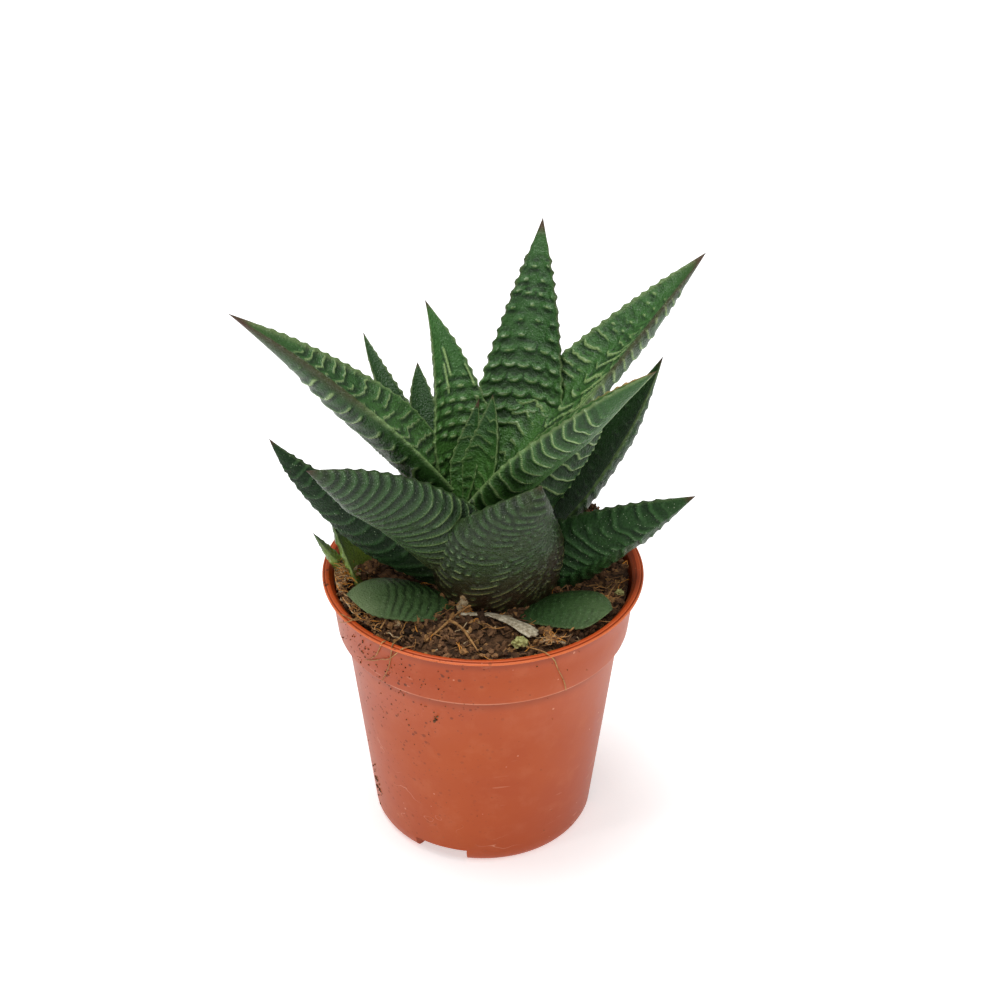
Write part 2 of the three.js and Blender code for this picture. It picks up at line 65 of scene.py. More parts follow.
# Each leaf: node, base, middle and tip of its centre line, full width and depth, then what
# differs from PLAIN_LEAF, and its outer and inner face from PLAIN_OUTER and PLAIN_INNER.
LEAVES = {
    "leaf_front": dict(
        line=((1.5, -8, 67.5), (6.6, -20, 94.5), (14.5, -20, 115.5)),
        width=39.5, depth=6, cup=(60, 50), keel=0.2, roll=(-38, -25), taper=2.2,
        outer=dict(keel_at=-0.5, pitch=2.4, corner=0.75, bow=0.7, curl=1.7, dash=0.95,
                   broken=0.66, until=1.1),
        brown=(0.66, 1.0), brown_side=0.2, blush=(0.8, 0.25), tone=0.3, pale=0.85, rim=0.1,
        dull=0.3, shaded=0.0, fade=0.85, brown_all=0.34, tip=0.97,
    ),
    "leaf_heart": dict(
        line=((-2, -1, 101), (1, 1, 114.5), (2.5, 5, 127)),
        width=11, depth=3, cup=(45, 30), heel=0.3,
        outer=dict(pitch=3.0, height=0.25, broken=0.5),
        inner=dict(kind="waves", pitch=3.0, height=0.3, broken=0.45),
        lush=(0.55, 0.9), tone=0.6, pale=0.75,
    ),
    "leaf_right_front": dict(
        line=((-0.5, -2, 98), (22, -8, 124.5), (42.5, -12, 143.5)),
        width=20, depth=6, cup=(45, 45), keel=0.6, roll=(-14, -16), heel=0.08,
        outer=dict(pitch=3.4, bow=0.34, corner=0.5, edge=0.22, height=0.5, broken=0.16, until=0.74,
                   gap=0.3, line=0.36),
        lush=(0.3, 0.75), tone=0.8, keel_line=0.9, orange=0.9, pale=1.0, shaded=0.08,
    ),
    "leaf_front_left": dict(
        line=((-2, -8, 81), (-21, -16, 105.5), (-43.5, -22, 121)),
        width=29, depth=7, cup=(60, 50), keel=0.3, roll=(42, 40), taper=1.8,
        outer=dict(keel_at=0.7, pitch=2.7, corner=0.85, bow=0.62, curl=1.8, height=0.36,
                   broken=0.22, until=1.02),
        brown=(0.36, 0.95), brown_side=-0.14, blush=(0.85, 0.35), tone=0.38, pale=0.72, rim=0.15,
        dark_rim=0.8, dull=0.1, shaded=0.15, fade=0.9, brown_all=0.2, tip=0.98,
    ),
    "leaf_centre_back": dict(
        line=((-5.5, 4, 98.5), (-7, 14, 121.5), (-15, 26, 143)),
        width=17, depth=5,
        inner=dict(kind="knobs", pitch=3.1, height=0.75, until=0.66, streaks=0.5, wide=3.6,
                   knob=1.35, broken=0.12, line=0.6),
        lush=(0.5, 0.9), tone=1.0, pale=1.0,
    ),
    "leaf_left_long": dict(
        line=((-9.3, 2, 102.1), (-34.3, 6, 127.1), (-64, 10, 147.5)),
        width=23, depth=7, cup=(45, 40), keel=0.6, roll=(9, 9),
        outer=dict(pitch=5.0, bow=0.5, corner=0.5, curl=1.0, skirt=0.8, height=0.6, broken=0.05,
                   until=0.76, line=0.5),
        inner=dict(kind="waves", pitch=3.3, height=0.45, until=0.8, broken=0.42),
        lush=(0.3, 0.65), tone=0.78, pale=1.0, blush=(0.7, 0.7), tip=1.05,
        dark_rim=1.0, dark_side=-1, rim_width=1.0,
    ),
    "leaf_right_tall": dict(
        line=((2, 2, 100), (32, 14, 133), (57, 28, 155.5)),
        width=24.5, depth=6, cup=(50, 35), keel=0.6, roll=(2, -6), heel=0.08,
        blush=(0.78, 0.6), tip=1.03, outer=dict(pitch=3.6, height=0.4, broken=0.3),
        inner=dict(kind="scrawl", height=0.55, until=0.9, broken=0.22, knob=1.1,
                   line=0.5),
        lush=(0.4, 0.6), tone=0.92, pale=1.0, dark_rim=1.0, dark_side=1, rim_width=0.7,
    ),
    "leaf_back_tall": dict(
        line=((7.5, 6, 100.5), (11.9, 22, 132), (15.5, 40, 159.5)),
        width=24, depth=5, cup=(45, 25), taper=1.15, heel=0.15,
        inner=dict(kind="rows", pitch=3.7, height=0.85, until=0.9, broken=0.05, knob=1.3,
                   line=0.45),
        lush=(0.35, 0.5), tone=0.75, pale=0.8, dark_rim=0.75, rim=0.5, tip=1.02, teeth=0.75,
    ),
    "leaf_heart_slim": dict(
        line=((-5.5, 1, 100), (-3.5, 5, 112), (-1, 9, 123.5)),
        width=8, depth=3, cup=(45, 30), heel=0.3,
        inner=dict(kind="waves", pitch=3.0, height=0.3, broken=0.5),
        lush=(0.5, 0.9), tip=1.06,
    ),
    "leaf_right_low": dict(
        line=((8.5, -2, 71.5), (32, -6, 90.5), (54, -10, 106)),
        width=24, depth=6, roll=(-75, -60), taper=1.4,
        outer=dict(pitch=3.3, height=0.4, broken=0.45),
        brown=(0.1, 0.45), tone=0.3, pale=0.3, rim=0.2, shaded=0.2,
    ),
    "leaf_right_slim": dict(
        line=((6, 2, 89.5), (22, 4, 108), (33, 6, 124)),
        width=14, depth=7, keel=0.6, roll=(-30, -30), heel=0.1,
        outer=dict(pitch=3.9, bow=0.3, corner=0.5, height=0.5, broken=0.1),
        tone=0.7, keel_line=0.4, pale=1.0,
    ),
    "leaf_right_back": dict(
        line=((12.5, 6, 82), (32, 14, 104.5), (47, 24, 127.5)),
        width=20, depth=5, roll=(-5, -5), heel=0.15,
        outer=dict(pitch=3.6, bow=0.3, height=0.35, broken=0.3),
        inner=dict(kind="rows", pitch=3.6, height=0.4, broken=0.3),
        tone=0.35, pale=0.45, rim=0.45, teeth=0.8, shaded=0.2,
    ),
    "leaf_left_low": dict(
        line=((-7.5, -4, 78.5), (-37.5, -2, 99.5), (-54.5, 0, 117)),
        width=20, depth=8, cup=(45, 40), keel=0.6, roll=(45, 45),
        outer=dict(pitch=3.7, bow=0.45, corner=0.5, height=0.34, broken=0.35),
        brown=(0.15, 0.4), tone=0.06, pale=0.2, rim=0.15, shaded=0.5,
    ),
    "leaf_back_left": dict(
        line=((-11.5, 10, 96.5), (-24.5, 26, 114.5), (-32, 40, 126)),
        width=8, depth=4, heel=0.15,
        inner=dict(kind="rows", pitch=3.2, height=0.3, until=0.8, broken=0.5),
        tone=0.4, pale=0.4,
    ),
    "leaf_back_blunt": dict(
        line=((-11.5, 12, 95.5), (-15.5, 24, 108), (-17.5, 36, 119)),
        width=8.5, depth=4, taper=2.2, heel=0.25,
        inner=dict(kind="rows", pitch=3.2, height=0.15, until=0.6, broken=0.6),
        tone=0.4, pale=0.4,
    ),
    "leaf_soil_left": dict(
        line=((-5, -15.5, 74.6), (-21, -15.7, 80), (-35.2, -16.6, 80.2)),
        width=17, depth=4, cup=(-30, -30), keel=0.3, roll=(-5, -5), taper=3.0, foot=0.45,
        peak=0.5, teeth=0.35,
        inner=dict(kind="waves", pitch=2.2, height=0.22, until=0.7, arc=-0.3, waver=0.6),
        tone=0.8, pale=0.3, rim=0.35, dull=0.8, wax=0.95, tip=0.9,
    ),
    "leaf_soil_right": dict(
        line=((6.5, -17.5, 74.6), (20, -18, 78.6), (33.2, -21.6, 79)),
        width=17, depth=4, cup=(-30, -30), keel=0.3, taper=3.0, foot=0.35, peak=0.6, teeth=0.25,
        inner=dict(kind="knobs", pitch=2.0, height=0.2, broken=0.3, until=0.98, wide=2.4,
                   knob=0.7, line=0.3),
        pale=0.25, rim=0.4, dull=0.7, wax=0.4, tip=0.9,
    ),
    "pup_leaf_inner": dict(
        line=((-30, -2, 71), (-35, 0, 82.5), (-40.2, 2, 92.4)),
        width=11, depth=2.5, cup=(30, 30), pup=True,
        inner=dict(kind="knobs", pitch=3.4, height=0.16, until=0.7, broken=0.5),
        lush=(0.8, 0.9), tone=0.9, pale=0.5,
    ),
    "pup_leaf_outer": dict(
        line=((-33, 2, 70), (-39.5, 0.5, 80.5), (-44.6, 0, 88.2)),
        width=6, depth=2, cup=(30, 30), pup=True,
        inner=dict(kind="knobs", pitch=3.0, height=0.1, until=0.6, broken=0.7),
        lush=(0.5, 0.9), tone=0.6, pale=0.5,
    ),
}

# Along a leaf 0 is the base and 1 the tip, and across it -1 and 1 are the margins. cup and
# roll are degrees at the base and at the tip. lush, brown and blush are a place
# along the leaf, up to or from which the tint runs, and its strength.
PLAIN_LEAF = dict(
    # Shape: curl of the section, sharpness of the keel, turn about the centre line, widest
    # place, width of the foot, how it narrows, share below the base and size of the teeth.
    cup=(40, 30), keel=0.5, roll=(0, 0), peak=0.28, foot=0.7, taper=1.25, heel=0.0, teeth=0.5,
    # Skin: brightness, lush foot with painted light shining through, shade on the outer face,
    # pale bloom, and the offset's green.
    tone=0.5, lush=(0, 0), shaded=0.35, wax=0.0, pup=False,
    # Light ridges: strength, fading towards the tip, dullness and the line along the keel.
    pale=0.7, fade=0.0, dull=0.0, keel_line=0.0,
    # Brown: foot, its slant across, all over the outer face, blush and length of the dry tip.
    brown=(0, 0), brown_side=0.0, brown_all=0.0, blush=(1.0, 0.0), tip=1.0,
    # Margins: light rim, its width in millimetres, dark rim, its side, and orange at the tip.
    rim=0.6, rim_width=0.26, dark_rim=0.25, dark_side=0, orange=0.0,
)

# Ridges of an outer face: place of the keel, offset of the rows beside it, spacing, height
# and light line in millimetres, then where a row turns, how far it sags to the keel and
# rises to the edge, with what curl, how much is left out in what dashes, where the rows end
# towards the tip and the edge, and the gap at the keel.
PLAIN_OUTER = dict(keel_at=0.0, step=0.37, pitch=3.2, height=0.32, line=0.42, corner=0.62, bow=0.4,
                   edge=0.1, curl=1.6, broken=0.2, dash=2.2, until=0.9, skirt=2.0, gap=0.0)

# Ridges or tubercles of an inner face: their kind, spacing along and across, height and
# light line in millimetres, size of a tubercle, bend and waver of a row, share left out,
# where they end, and where raised streaks start.
PLAIN_INNER = dict(kind="rows", pitch=3.5, wide=4.4, height=0.35, line=0.42, knob=1.0, arc=0.12,
                   waver=0.9, broken=0.25, until=0.85, streaks=0.0)

# How far a ridge's section runs out towards the tip and the base, in millimetres. The
# tubercle's values are multiplied by its size.
OUTER_RIDGE = (0.95, 0.42)
INNER_RIDGE = (0.95, 0.45)
TUBERCLE = (0.85, 0.45)

# Mesh spacing along and across a leaf, width of the line on its keel and of a tooth.
ROW_STEP = 0.36
COLUMN_STEP = 0.44
KEEL_LINE = 0.36
TOOTH = 0.75

# The pot: heights, outer radii and thicknesses, then its raised foot pockets, with their
# angles and opening in degrees, and the drain hole above each. BEYOND_POT is a radius
# past the pot, for what cuts it.
POT_HEIGHT = 77.2
RIM_RADIUS = 42.5
BAND_FOOT = 61.2
LIP_FOOT = 76.2
BAND_TOP_RADIUS = 40.5
BAND_FOOT_RADIUS = 38.9
BASE_RADIUS = 29.7
WALL_TOP_RADIUS = 36.8
WALL = 1.1
FLOOR = 1.4
FOOT_ROUND = 2.5
LIP_GROOVE = 41.86
POCKET_ANGLES = (247, 7, 127)
POCKET_OPENING = 29
POCKET_HEIGHT = 4.2
POCKET_INNER = 21.5
POCKET_OUTER = 28.4
DRAIN_RADIUS = 2.4
DRAIN_PLACE = 25.4
BEYOND_POT = 45

# The soil: its radius, the height of its foot and edge, how far its middle stands above the
# edge, the mesh of its top, and radius and height of the rings of its side.
SOIL_RADIUS = 38.5
SOIL_FOOT = 1.8
SOIL_EDGE = 74.6
SOIL_MOUND = 2.0
SOIL_RINGS = 44
SOIL_SECTORS = 132
SOIL_SIDE = ((26.9, SOIL_FOOT), (28.1, 2.9), (35.1, 59.4), (37.7, 66.5), (38.2, 72))

# Stray crumbs on the pot: angle and height of the patch, its spread in degrees and
# millimetres, how many, and their size.
SPLASHES = (
    (250, 52.8, 0.6, 1.5, 9, 0.55),
    (201, 13.0, 2.0, 4.0, 34, 0.42),
    (236, 66.0, 13.0, 4.5, 60, 0.26),
    (232, 50.0, 12.0, 8.0, 34, 0.24),
    (218, 71.0, 9.0, 3.5, 40, 0.32),
    (300, 68.0, 16.0, 4.0, 8, 0.22),
    (270, 40.0, 24.0, 22.0, 26, 0.18),
)

# Heaps of crumbs on the soil: middle, spread along each axis, how many, size, tint and
# how long the crumbs are drawn out.
HEAPS = (
    ((-4.5, -18.5, 79.5), (1.0, 0.6, 2.5), 46, 0.85, 0.8, 1.3),
    ((-0.4, -18.6, 77.3), (0.7, 0.5, 1.0), 12, 0.65, 0.3, 1.2),
    ((8.8, -19.4, 76.9), (1.9, 0.5, 0.4), 12, 0.75, 0.4, 2.2),
    ((-34.8, -2.6, 77.4), (1.8, 2.6, 1.3), 80, 0.75, 0.75, 1.3),
    ((28.6, 25.6, 79.1), (2.0, 0.9, 1.7), 64, 0.75, 0.2, 1.2),
    ((-37.4, -5.5, 77.5), (0.9, 5.5, 0.6), 80, 0.6, 0.6, 1.6),
    ((-35.4, -15.0, 77.0), (1.0, 3.0, 0.5), 40, 0.6, 0.5, 1.6),
    ((31.0, 22.0, 80.4), (0.7, 0.5, 1.3), 12, 0.6, 0.2, 1.2),
    ((-30.0, -1.6, 78.2), (1.6, 1.2, 1.6), 40, 0.85, 0.5, 1.2),
    ((17.0, -31.4, 76.6), (1.9, 1.4, 0.5), 34, 0.55, 0.75, 2.0),
    ((-30.4, -24.6, 76.9), (2.2, 1.4, 0.4), 26, 0.6, 0.3, 1.3),
    ((-8.0, -29.4, 76.6), (3.5, 2.0, 0.35), 30, 0.7, 0.45, 1.2),
)

# Tangles of fine fibres: middle, spread, how many, and their tint.
TANGLES = (
    ((-36.2, -3.4, 78.3), (1.5, 3.6, 1.2), 96, 0.82),
    ((-38.0, -7.5, 77.9), (0.8, 5.0, 0.6), 60, 0.8),
    ((-34.0, -17.6, 77.4), (1.6, 2.4, 0.5), 30, 0.8),
    ((-36.6, -9.0, 77.0), (1.4, 3.0, 0.5), 26, 0.6),
    ((17.4, -31.2, 76.9), (2.4, 1.4, 0.4), 30, 0.8),
    ((-30.5, -23.0, 77.0), (2.4, 2.0, 0.4), 22, 0.5),
    ((31.0, -14.0, 76.6), (3.0, 4.0, 0.4), 16, 0.5),
    ((-4.4, -18.4, 78.2), (1.0, 0.8, 1.2), 12, 0.5),
)

# Loose roots: centre lines and thickness. The first one stands for the root solid.
ROOTS = {
    "root_front": (((-7.6, -20.6, 77.2), (-8.6, -23.4, 76.8), (-11.0, -27.0, 76.6),
                    (-14.4, -31.2, 76.1)), 0.9),
    "root_branch": (((-8.6, -23.2, 76.8), (-5.4, -26.9, 76.9), (-3.3, -31.2, 76.6),
                     (-1.3, -35.6, 76.0)), 0.85),
    "root_top": (((-1.6, -18.6, 79.6), (-3.6, -19.4, 78.4), (-6.2, -20.8, 77.4),
                  (-8.8, -23.6, 76.7)), 0.7),
    "root_rim_right": (((11.0, -34.0, 76.2), (14.5, -36.6, 76.9), (16.3, -39.0, 77.5),
                        (18.0, -36.3, 73.7), (19.0, -35.4, 70.2), (20.6, -33.9, 65.4),
                        (21.3, -33.0, 61.6)), 0.42),
    "root_rim_left": (((-20.5, -29.5, 76.3), (-22.3, -33.4, 77.2), (-22.9, -35.6, 77.5),
                       (-23.3, -33.1, 73.3), (-24.1, -31.9, 68.1), (-26.1, -29.3, 61.7)), 0.4),
    "root_rim_side": (((-17.2, -34.6, 76.8), (-20.2, -36.6, 77.5), (-23.7, -32.6, 71.5),
                       (-25.8, -30.8, 69.9), (-28.1, -28.3, 67.7), (-30.5, -25.4, 65.7)), 0.36),
    "root_rim_curl": (((-24.6, -33.0, 77.3), (-25.5, -33.9, 77.4), (-26.5, -30.6, 72.8),
                       (-27.4, -29.3, 70.0), (-29.0, -27.4, 67.5)), 0.35),
    "root_rim_far": (((-30.4, -22.0, 76.6), (-32.6, -24.4, 77.6), (-35.0, -22.6, 77.4),
                      (-37.6, -19.6, 76.6)), 0.4),
    "root_rim_fan": (((-31.0, -21.4, 76.8), (-33.4, -24.6, 77.7), (-35.2, -24.0, 76.6),
                      (-37.2, -21.8, 75.2)), 0.34),
    "root_right": (((22.0, -27.6, 76.4), (25.4, -24.2, 76.9), (29.0, -23.4, 76.7),
                    (32.4, -23.6, 76.5), (35.6, -21.8, 76.4)), 0.45),
    "root_right_cross": (((30.0, -19.6, 76.2), (31.8, -15.2, 77.3), (33.8, -9.8, 77.2),
                          (36.0, -4.6, 76.2)), 0.4),
    "root_left_tangle": (((-37.4, -9.4, 76.3), (-36.4, -7.0, 77.5), (-37.0, -3.6, 77.6),
                          (-35.4, -1.0, 76.5)), 0.55),
    "root_left_bend": (((-34.0, -16.0, 76.2), (-36.0, -12.6, 77.4), (-37.2, -9.0, 77.3),
                        (-36.0, -6.2, 76.4)), 0.5),
    "root_left_low": (((-32.6, -19.4, 76.2), (-31.0, -15.4, 77.2), (-33.6, -12.2, 77.0),
                       (-36.6, -12.8, 76.4)), 0.45),
    "root_mid_left": (((-26.2, -25.8, 76.0), (-24.0, -22.2, 77.2), (-21.4, -24.2, 77.0),
                       (-20.2, -28.4, 76.2)), 0.42),
}

# The dried stalk: its centre line, the curl at its foot, and its blades, each with its shift
# sideways, width, lift and share of the last stretch.
STALK_LINE = ((-5.7, -21.4, 77.3), (1.7, -21.7, 77.3), (6.6, -24, 77.0), (13.6, -29.4, 76.4))
STALK_CURL = ((0.2, -21.3, 77.3), (1.0, -22.3, 77.9), (2.3, -23.0, 77.6), (2.6, -22.2, 77.2))
STALK_BLADES = (
    (0.0, 1.5, 0.0, 1.0),
    (1.5, 1.2, 0.1, 0.93),
    (-1.4, 1.1, 0.05, 0.9),
    (0.8, 1.0, 0.35, 0.97),
    (-0.7, 1.0, 0.3, 0.96),
    (2.1, 0.7, 0.2, 0.8),
)

# Grains of slow-release feed: middle and radius.
PRILLS = {
    "prill_front": ((9.3, -32.4, 76.4), 1.9),
    "prill_right": ((35.6, -9.2, 75.4), 1.2),
}

# How far from the pot's axis the middles of loose bits may lie, inside the rim.
HEAP_LIMIT = 39.3
TANGLE_LIMIT = 39.2
FIBRE_LIMIT = 38.6

# Lights, in metres: place, size and share of the key light's power.
LIGHTS = {
    "key": ((-0.15, 0.05, 1.1), 0.6, 1.0),
    "front": ((-0.35, -1.0, 0.65), 0.7, 0.3),
    "side": ((0.85, -0.3, 0.6), 0.6, 0.2),
    "glint": ((-0.35, -0.35, 0.95), 0.08, 0.1),
}
LIGHT_AIM = (0, 0, 0.09)
SKY_STRENGTH = 0.35
FLOOR_RADIUS = 3.0
GLOW_NEAR = (0.46, 0.46, 0.46)
GLOW_FAR = (0.9, 0.9, 0.9)
SENSOR_WIDTH = 36
LENS = 81.68
LENS_SHIFT = (0.017, 0.0673)


# Noise and smooth steps


def noise_at(i, j, seed):
    """A repeatable number from 0 to 1 for each whole-number place."""
    n = np.sin(i * 127.1 + j * 311.7 + seed * 74.7) * 43758.5453
    return n - np.floor(n)


def smooth_noise(x, y, seed):
    """Smooth noise from 0 to 1 over the plane, one cell to each unit."""
    i, j = np.floor(x), np.floor(y)
    a, b = x - i, y - j
    a, b = a * a * (3 - 2 * a), b * b * (3 - 2 * b)
    low = noise_at(i, j, seed) * (1 - a) + noise_at(i + 1, j, seed) * a
    high = noise_at(i, j + 1, seed) * (1 - a) + noise_at(i + 1, j + 1, seed) * a
    return low * (1 - b) + high * b


def ease(x, low, high):
    """0 below low, 1 above high, and smooth between them."""
    t = np.clip((x - low) / (high - low), 0, 1)
    return t * t * (3 - 2 * t)


def bump_shape(distance, gentle, steep):
    """A ridge section: gentle on the tip side (positive distance), steep on the base side."""
    return np.exp(-((distance / np.where(distance > 0, gentle, steep)) ** 2))


def hollows(height, rows, columns):
    """How much lower (+) or higher (-) each point is than the ones around it."""
    around = [
        np.roll(height, (i, j), axis=(0, 1))
        for i in range(-rows, rows + 1)
        for j in range(-columns, columns + 1)
    ]
    return sum(around) / len(around) - height


def unit(v):
    """The vectors, each made one long."""
    return v / np.maximum(np.linalg.norm(v, axis=-1, keepdims=True), 1e-9)


def polar(radius, angle):
    """The point at a radius and an angle in radians."""
    return radius * math.cos(angle), radius * math.sin(angle)


def mm(*lengths):
    """Millimetres as metres."""
    return tuple(length * MM for length in lengths)


# Leaves


def full_leaf(leaf):
    """The leaf's values, with the plain ones where it has none of its own."""
    outer = {**PLAIN_OUTER, **leaf.get("outer", {})}
    inner = {**PLAIN_INNER, **leaf.get("inner", {})}
    return {**PLAIN_LEAF, **leaf, "outer": outer, "inner": inner}


def leaf_half_width(leaf, t):
    """Half the leaf's width at each t, in millimetres."""
    foot, peak = leaf["foot"], leaf["peak"]
    below = foot * (1 + 2 * t)
    rise = foot + (1 - foot) * np.sin(np.pi / 2 * np.clip(t / peak, 0, 1))
    fall = 1 - np.clip((t - peak) / (1 - peak), 0, 1) ** leaf["taper"]
    share = np.where(t < 0, below, np.where(t < peak, rise, fall))
    return leaf["width"] / 2 * share


def leaf_frame(leaf, t):
    """The section's centre at each t, and its side, inner and lengthwise directions."""
    base, mid, tip = (np.array(p, float) for p in leaf["line"])
    knee = 2 * mid - (base + tip) / 2
    t = t[..., None]
    centre = (1 - t) ** 2 * base + 2 * t * (1 - t) * knee + t**2 * tip
    along = unit((1 - t) * (knee - base) + t * (tip - knee))
    outward = tip - base
    outward[2] = 0
    face = np.array([0, 0, 1.0]) - 0.7 * unit(outward)
    face = unit(face - along * np.sum(along * face, -1, keepdims=True))
    side = np.cross(along, face)
    roll = np.radians(leaf["roll"][0] + (leaf["roll"][1] - leaf["roll"][0]) * t)
    inner = face * np.cos(roll) + side * np.sin(roll)
    return centre, np.cross(along, inner), inner, along


def leaf_length(leaf):
    """Length of the leaf along its centre line, in millimetres."""
    t = np.linspace(0, 1, 200)
    centre = leaf_frame(leaf, t)[0]
    return float(np.sum(np.linalg.norm(np.diff(centre, axis=0), axis=1)))


def ridge_lines(look, s, v, half, t, seed):
    """Raised cross ridges of the outer face: height and light line, both 0 to 1."""
    keel_at = look["keel_at"]
    a = np.where(v < keel_at, (keel_at - v) / (1 + keel_at), (v - keel_at) / (1 - keel_at))
    half = half * np.where(v < keel_at, 1 + keel_at, 1 - keel_at)
    corner = look["corner"]
    toward_keel = np.clip((corner - a) / corner, 0, 1) ** look["curl"]
    toward_edge = np.clip((a - corner) / (1 - corner), 0, 1) ** 2
    shift = half * (look["bow"] * toward_keel + look["edge"] * toward_edge)
    side = np.where(v > keel_at, 31, 0)
    waver = 0.5 * (smooth_noise(s / 6, a * 4 + side, seed) - 0.5)
    phase = (s - shift) / look["pitch"] + waver + np.where(v > keel_at, look["step"], 0)
    row = np.floor(phase + 0.5)
    off = (phase - row) * look["pitch"]
    line = np.exp(-((off / look["line"]) ** 2))
    lean = bump_shape(off, *OUTER_RIDGE)
    start = 7 * noise_at(row, side, seed)
    patch = smooth_noise(a * half / look["dash"] + start, row * 3.1 + side, seed + 5)
    kept = ease(patch, look["broken"] * 0.75 - 0.12, look["broken"] * 0.75 + 0.12)
    if look["broken"] < 0.05:
        kept = np.ones_like(kept)
    reach = 1 - ease(t, look["until"] - 0.12, look["until"])
    open_keel = ease(a, look["gap"] - 0.1, look["gap"] + 0.06) if look["gap"] else 1.0
    skirt = 1 - ease(a, look["skirt"], look["skirt"] + 0.12)
    strength = kept * reach * open_keel * skirt
    return lean * strength, line * strength


def tubercles(look, s, v, half, seed, share, merge=0.0):
    """Rounded tubercles in cross rows, merging sideways into scallops where merge is 1."""
    pitch = look["pitch"]
    phase = s / pitch + look["arc"] * v * v * half / pitch
    row = np.floor(phase + 0.5)
    columns = np.maximum(1, np.round(half * 2 / look["wide"]))
    place = (v + 1) / 2 * columns + 0.5 * (row % 2) + 0.35 * (noise_at(row, 3, seed) - 0.5)
    column = np.floor(place)
    jitter = noise_at(row, column, seed + 1) - 0.5
    dc = (place - column - 0.5 - 0.25 * jitter) / columns * half * 2
    sag = merge * 0.85 * (1 - (dc / look["wide"] * 2) ** 2)
    ds = (phase - row) * pitch - 0.9 * jitter * (1 - 0.6 * merge) + sag
    long = (0.7 + 0.5 * noise_at(row, column, seed + 2)) * (1 + 0.75 * merge) * look["knob"]
    knob = bump_shape(ds, *(look["knob"] * reach for reach in TUBERCLE))
    knob = knob * np.exp(-np.abs(dc / long) ** (2 + 1.5 * merge))
    kept = (noise_at(row, column, seed + 3) > look["broken"]) * 1.0
    strength = kept * share
    cap_half = look["line"] - 0.02
    cap = np.exp(-(((ds + 0.1) / cap_half) ** 2) - np.abs(dc / (long * 0.85)) ** (2 + 2 * merge))
    return knob * strength, cap * strength


def wavy_ridges(look, s, v, half, seed, share):
    """Wavy cross ridges of an inner face: height and light line, both 0 to 1."""
    pitch = look["pitch"]
    wave = look["waver"] * (smooth_noise(v * half / 2.6 + 50, s / 9, seed) - 0.5)
    ripple = 0.3 * look["waver"] * (smooth_noise(v * half / 1.1 + 90, s / 4, seed) - 0.5)
    wave = wave + ripple
    phase = s / pitch + look["arc"] * v * v * half / pitch + wave
    row = np.floor(phase + 0.5)
    off = (phase - row) * pitch
    patch = smooth_noise(v * half / 2.4 + 20 * noise_at(row, 1, seed), row * 2.3, seed + 8)
    kept = ease(patch, look["broken"] * 0.8 - 0.1, look["broken"] * 0.8 + 0.1)
    strength = kept * share
    return (
        bump_shape(off, *INNER_RIDGE) * strength,
        np.exp(-(((off + 0.15) / look["line"]) ** 2)) * strength,
    )


def streaks(look, v, half, t, seed):
    """Long raised streaks that run towards the tip above the tubercles, 0 to 1."""
    lane = np.floor((v + 1) * 2.5)
    middle = (lane + 0.5) / 2.5 - 1 + 0.2 * (noise_at(lane, 2, seed) - 0.5)
    start = look["streaks"] + 0.12 * noise_at(lane, 4, seed)
    stop = start + 0.1 + 0.16 * noise_at(lane, 5, seed)
    on = ease(t, start, start + 0.03) * (1 - ease(t, stop, stop + 0.03))
    on = on * (noise_at(lane, 9, seed) > 0.45)
    return np.exp(-(((v - middle) * half / 0.45) ** 2)) * on


def inner_relief(look, s, v, half, t, seed):
    """Relief of the inner face by its kind: height and light line, both 0 to 1."""
    kind = look["kind"]
    end = 1 - ease(t, look["until"] - 0.1, look["until"])
    near_edge = 1 - 0.7 * ease(np.abs(v), 0.86, 0.97)
    if kind == "waves":
        height, line = wavy_ridges(look, s, v, half, seed, end)
    elif kind == "rows":
        height, line = tubercles(look, s, v, half, seed, end, 1 - ease(t, 0.4, 0.56))
    elif kind == "scrawl":
        share = end * (1 - 0.6 * ease(t, 0.45, 0.7))
        wave, line = wavy_ridges(look, s, v, half, seed, share)
        knob, cap = tubercles(look, s, v, half, seed + 20, end * ease(t, 0.4, 0.6) * 0.9)
        slant = {**look, "pitch": look["pitch"] * 1.15, "broken": look["broken"] + 0.1}
        share = (1 - ease(t, 0.5, 0.75)) * ease(v, -0.25, -0.05)
        step, mark = wavy_ridges(slant, s - 1.3 * np.abs(v) * half, v, half, seed + 60, share)
        outer_half = ease(np.abs(v), 0.2, 0.45)
        height = np.maximum.reduce([wave * outer_half, knob, step])
        line = np.maximum.reduce([line * (0.35 + 0.65 * outer_half), cap, mark])
    else:
        height, line = tubercles(look, s, v, half, seed, end)
        if look["streaks"]:
            streak = streaks(look, v, half, t, seed)
            height, line = np.maximum(height, 0.6 * streak), np.maximum(line, streak)
    return height * near_edge, line * near_edge


def leaf_body(leaf, t, v, inner_face, half):
    """Points of the leaf before its relief, its face and margin directions, and its start."""
    centre, side, inner, along = leaf_frame(leaf, t)
    angle = np.radians(leaf["cup"][0] + (leaf["cup"][1] - leaf["cup"][0]) * t)
    radius = (half / angle)[..., None]
    sine, cosine = np.sin(angle * v)[..., None], np.cos(angle * v)[..., None]
    normal = inner * cosine - side * sine
    tangent = side * cosine + inner * sine
    depth = np.minimum(leaf["depth"] * (1 - 0.15 * t), 0.75 * half)
    round_share = np.sqrt(np.clip(1 - v * v, 0, 1))
    profile = (1 - leaf["keel"]) * round_share + leaf["keel"] * (1 - np.abs(v))
    point = centre + side * radius * sine + inner * radius * (1 - cosine)
    point = point - normal * (depth * profile * (1 - inner_face))[..., None]
    return point, normal, tangent, centre[0, 0] - along[0, 0] * 0.05


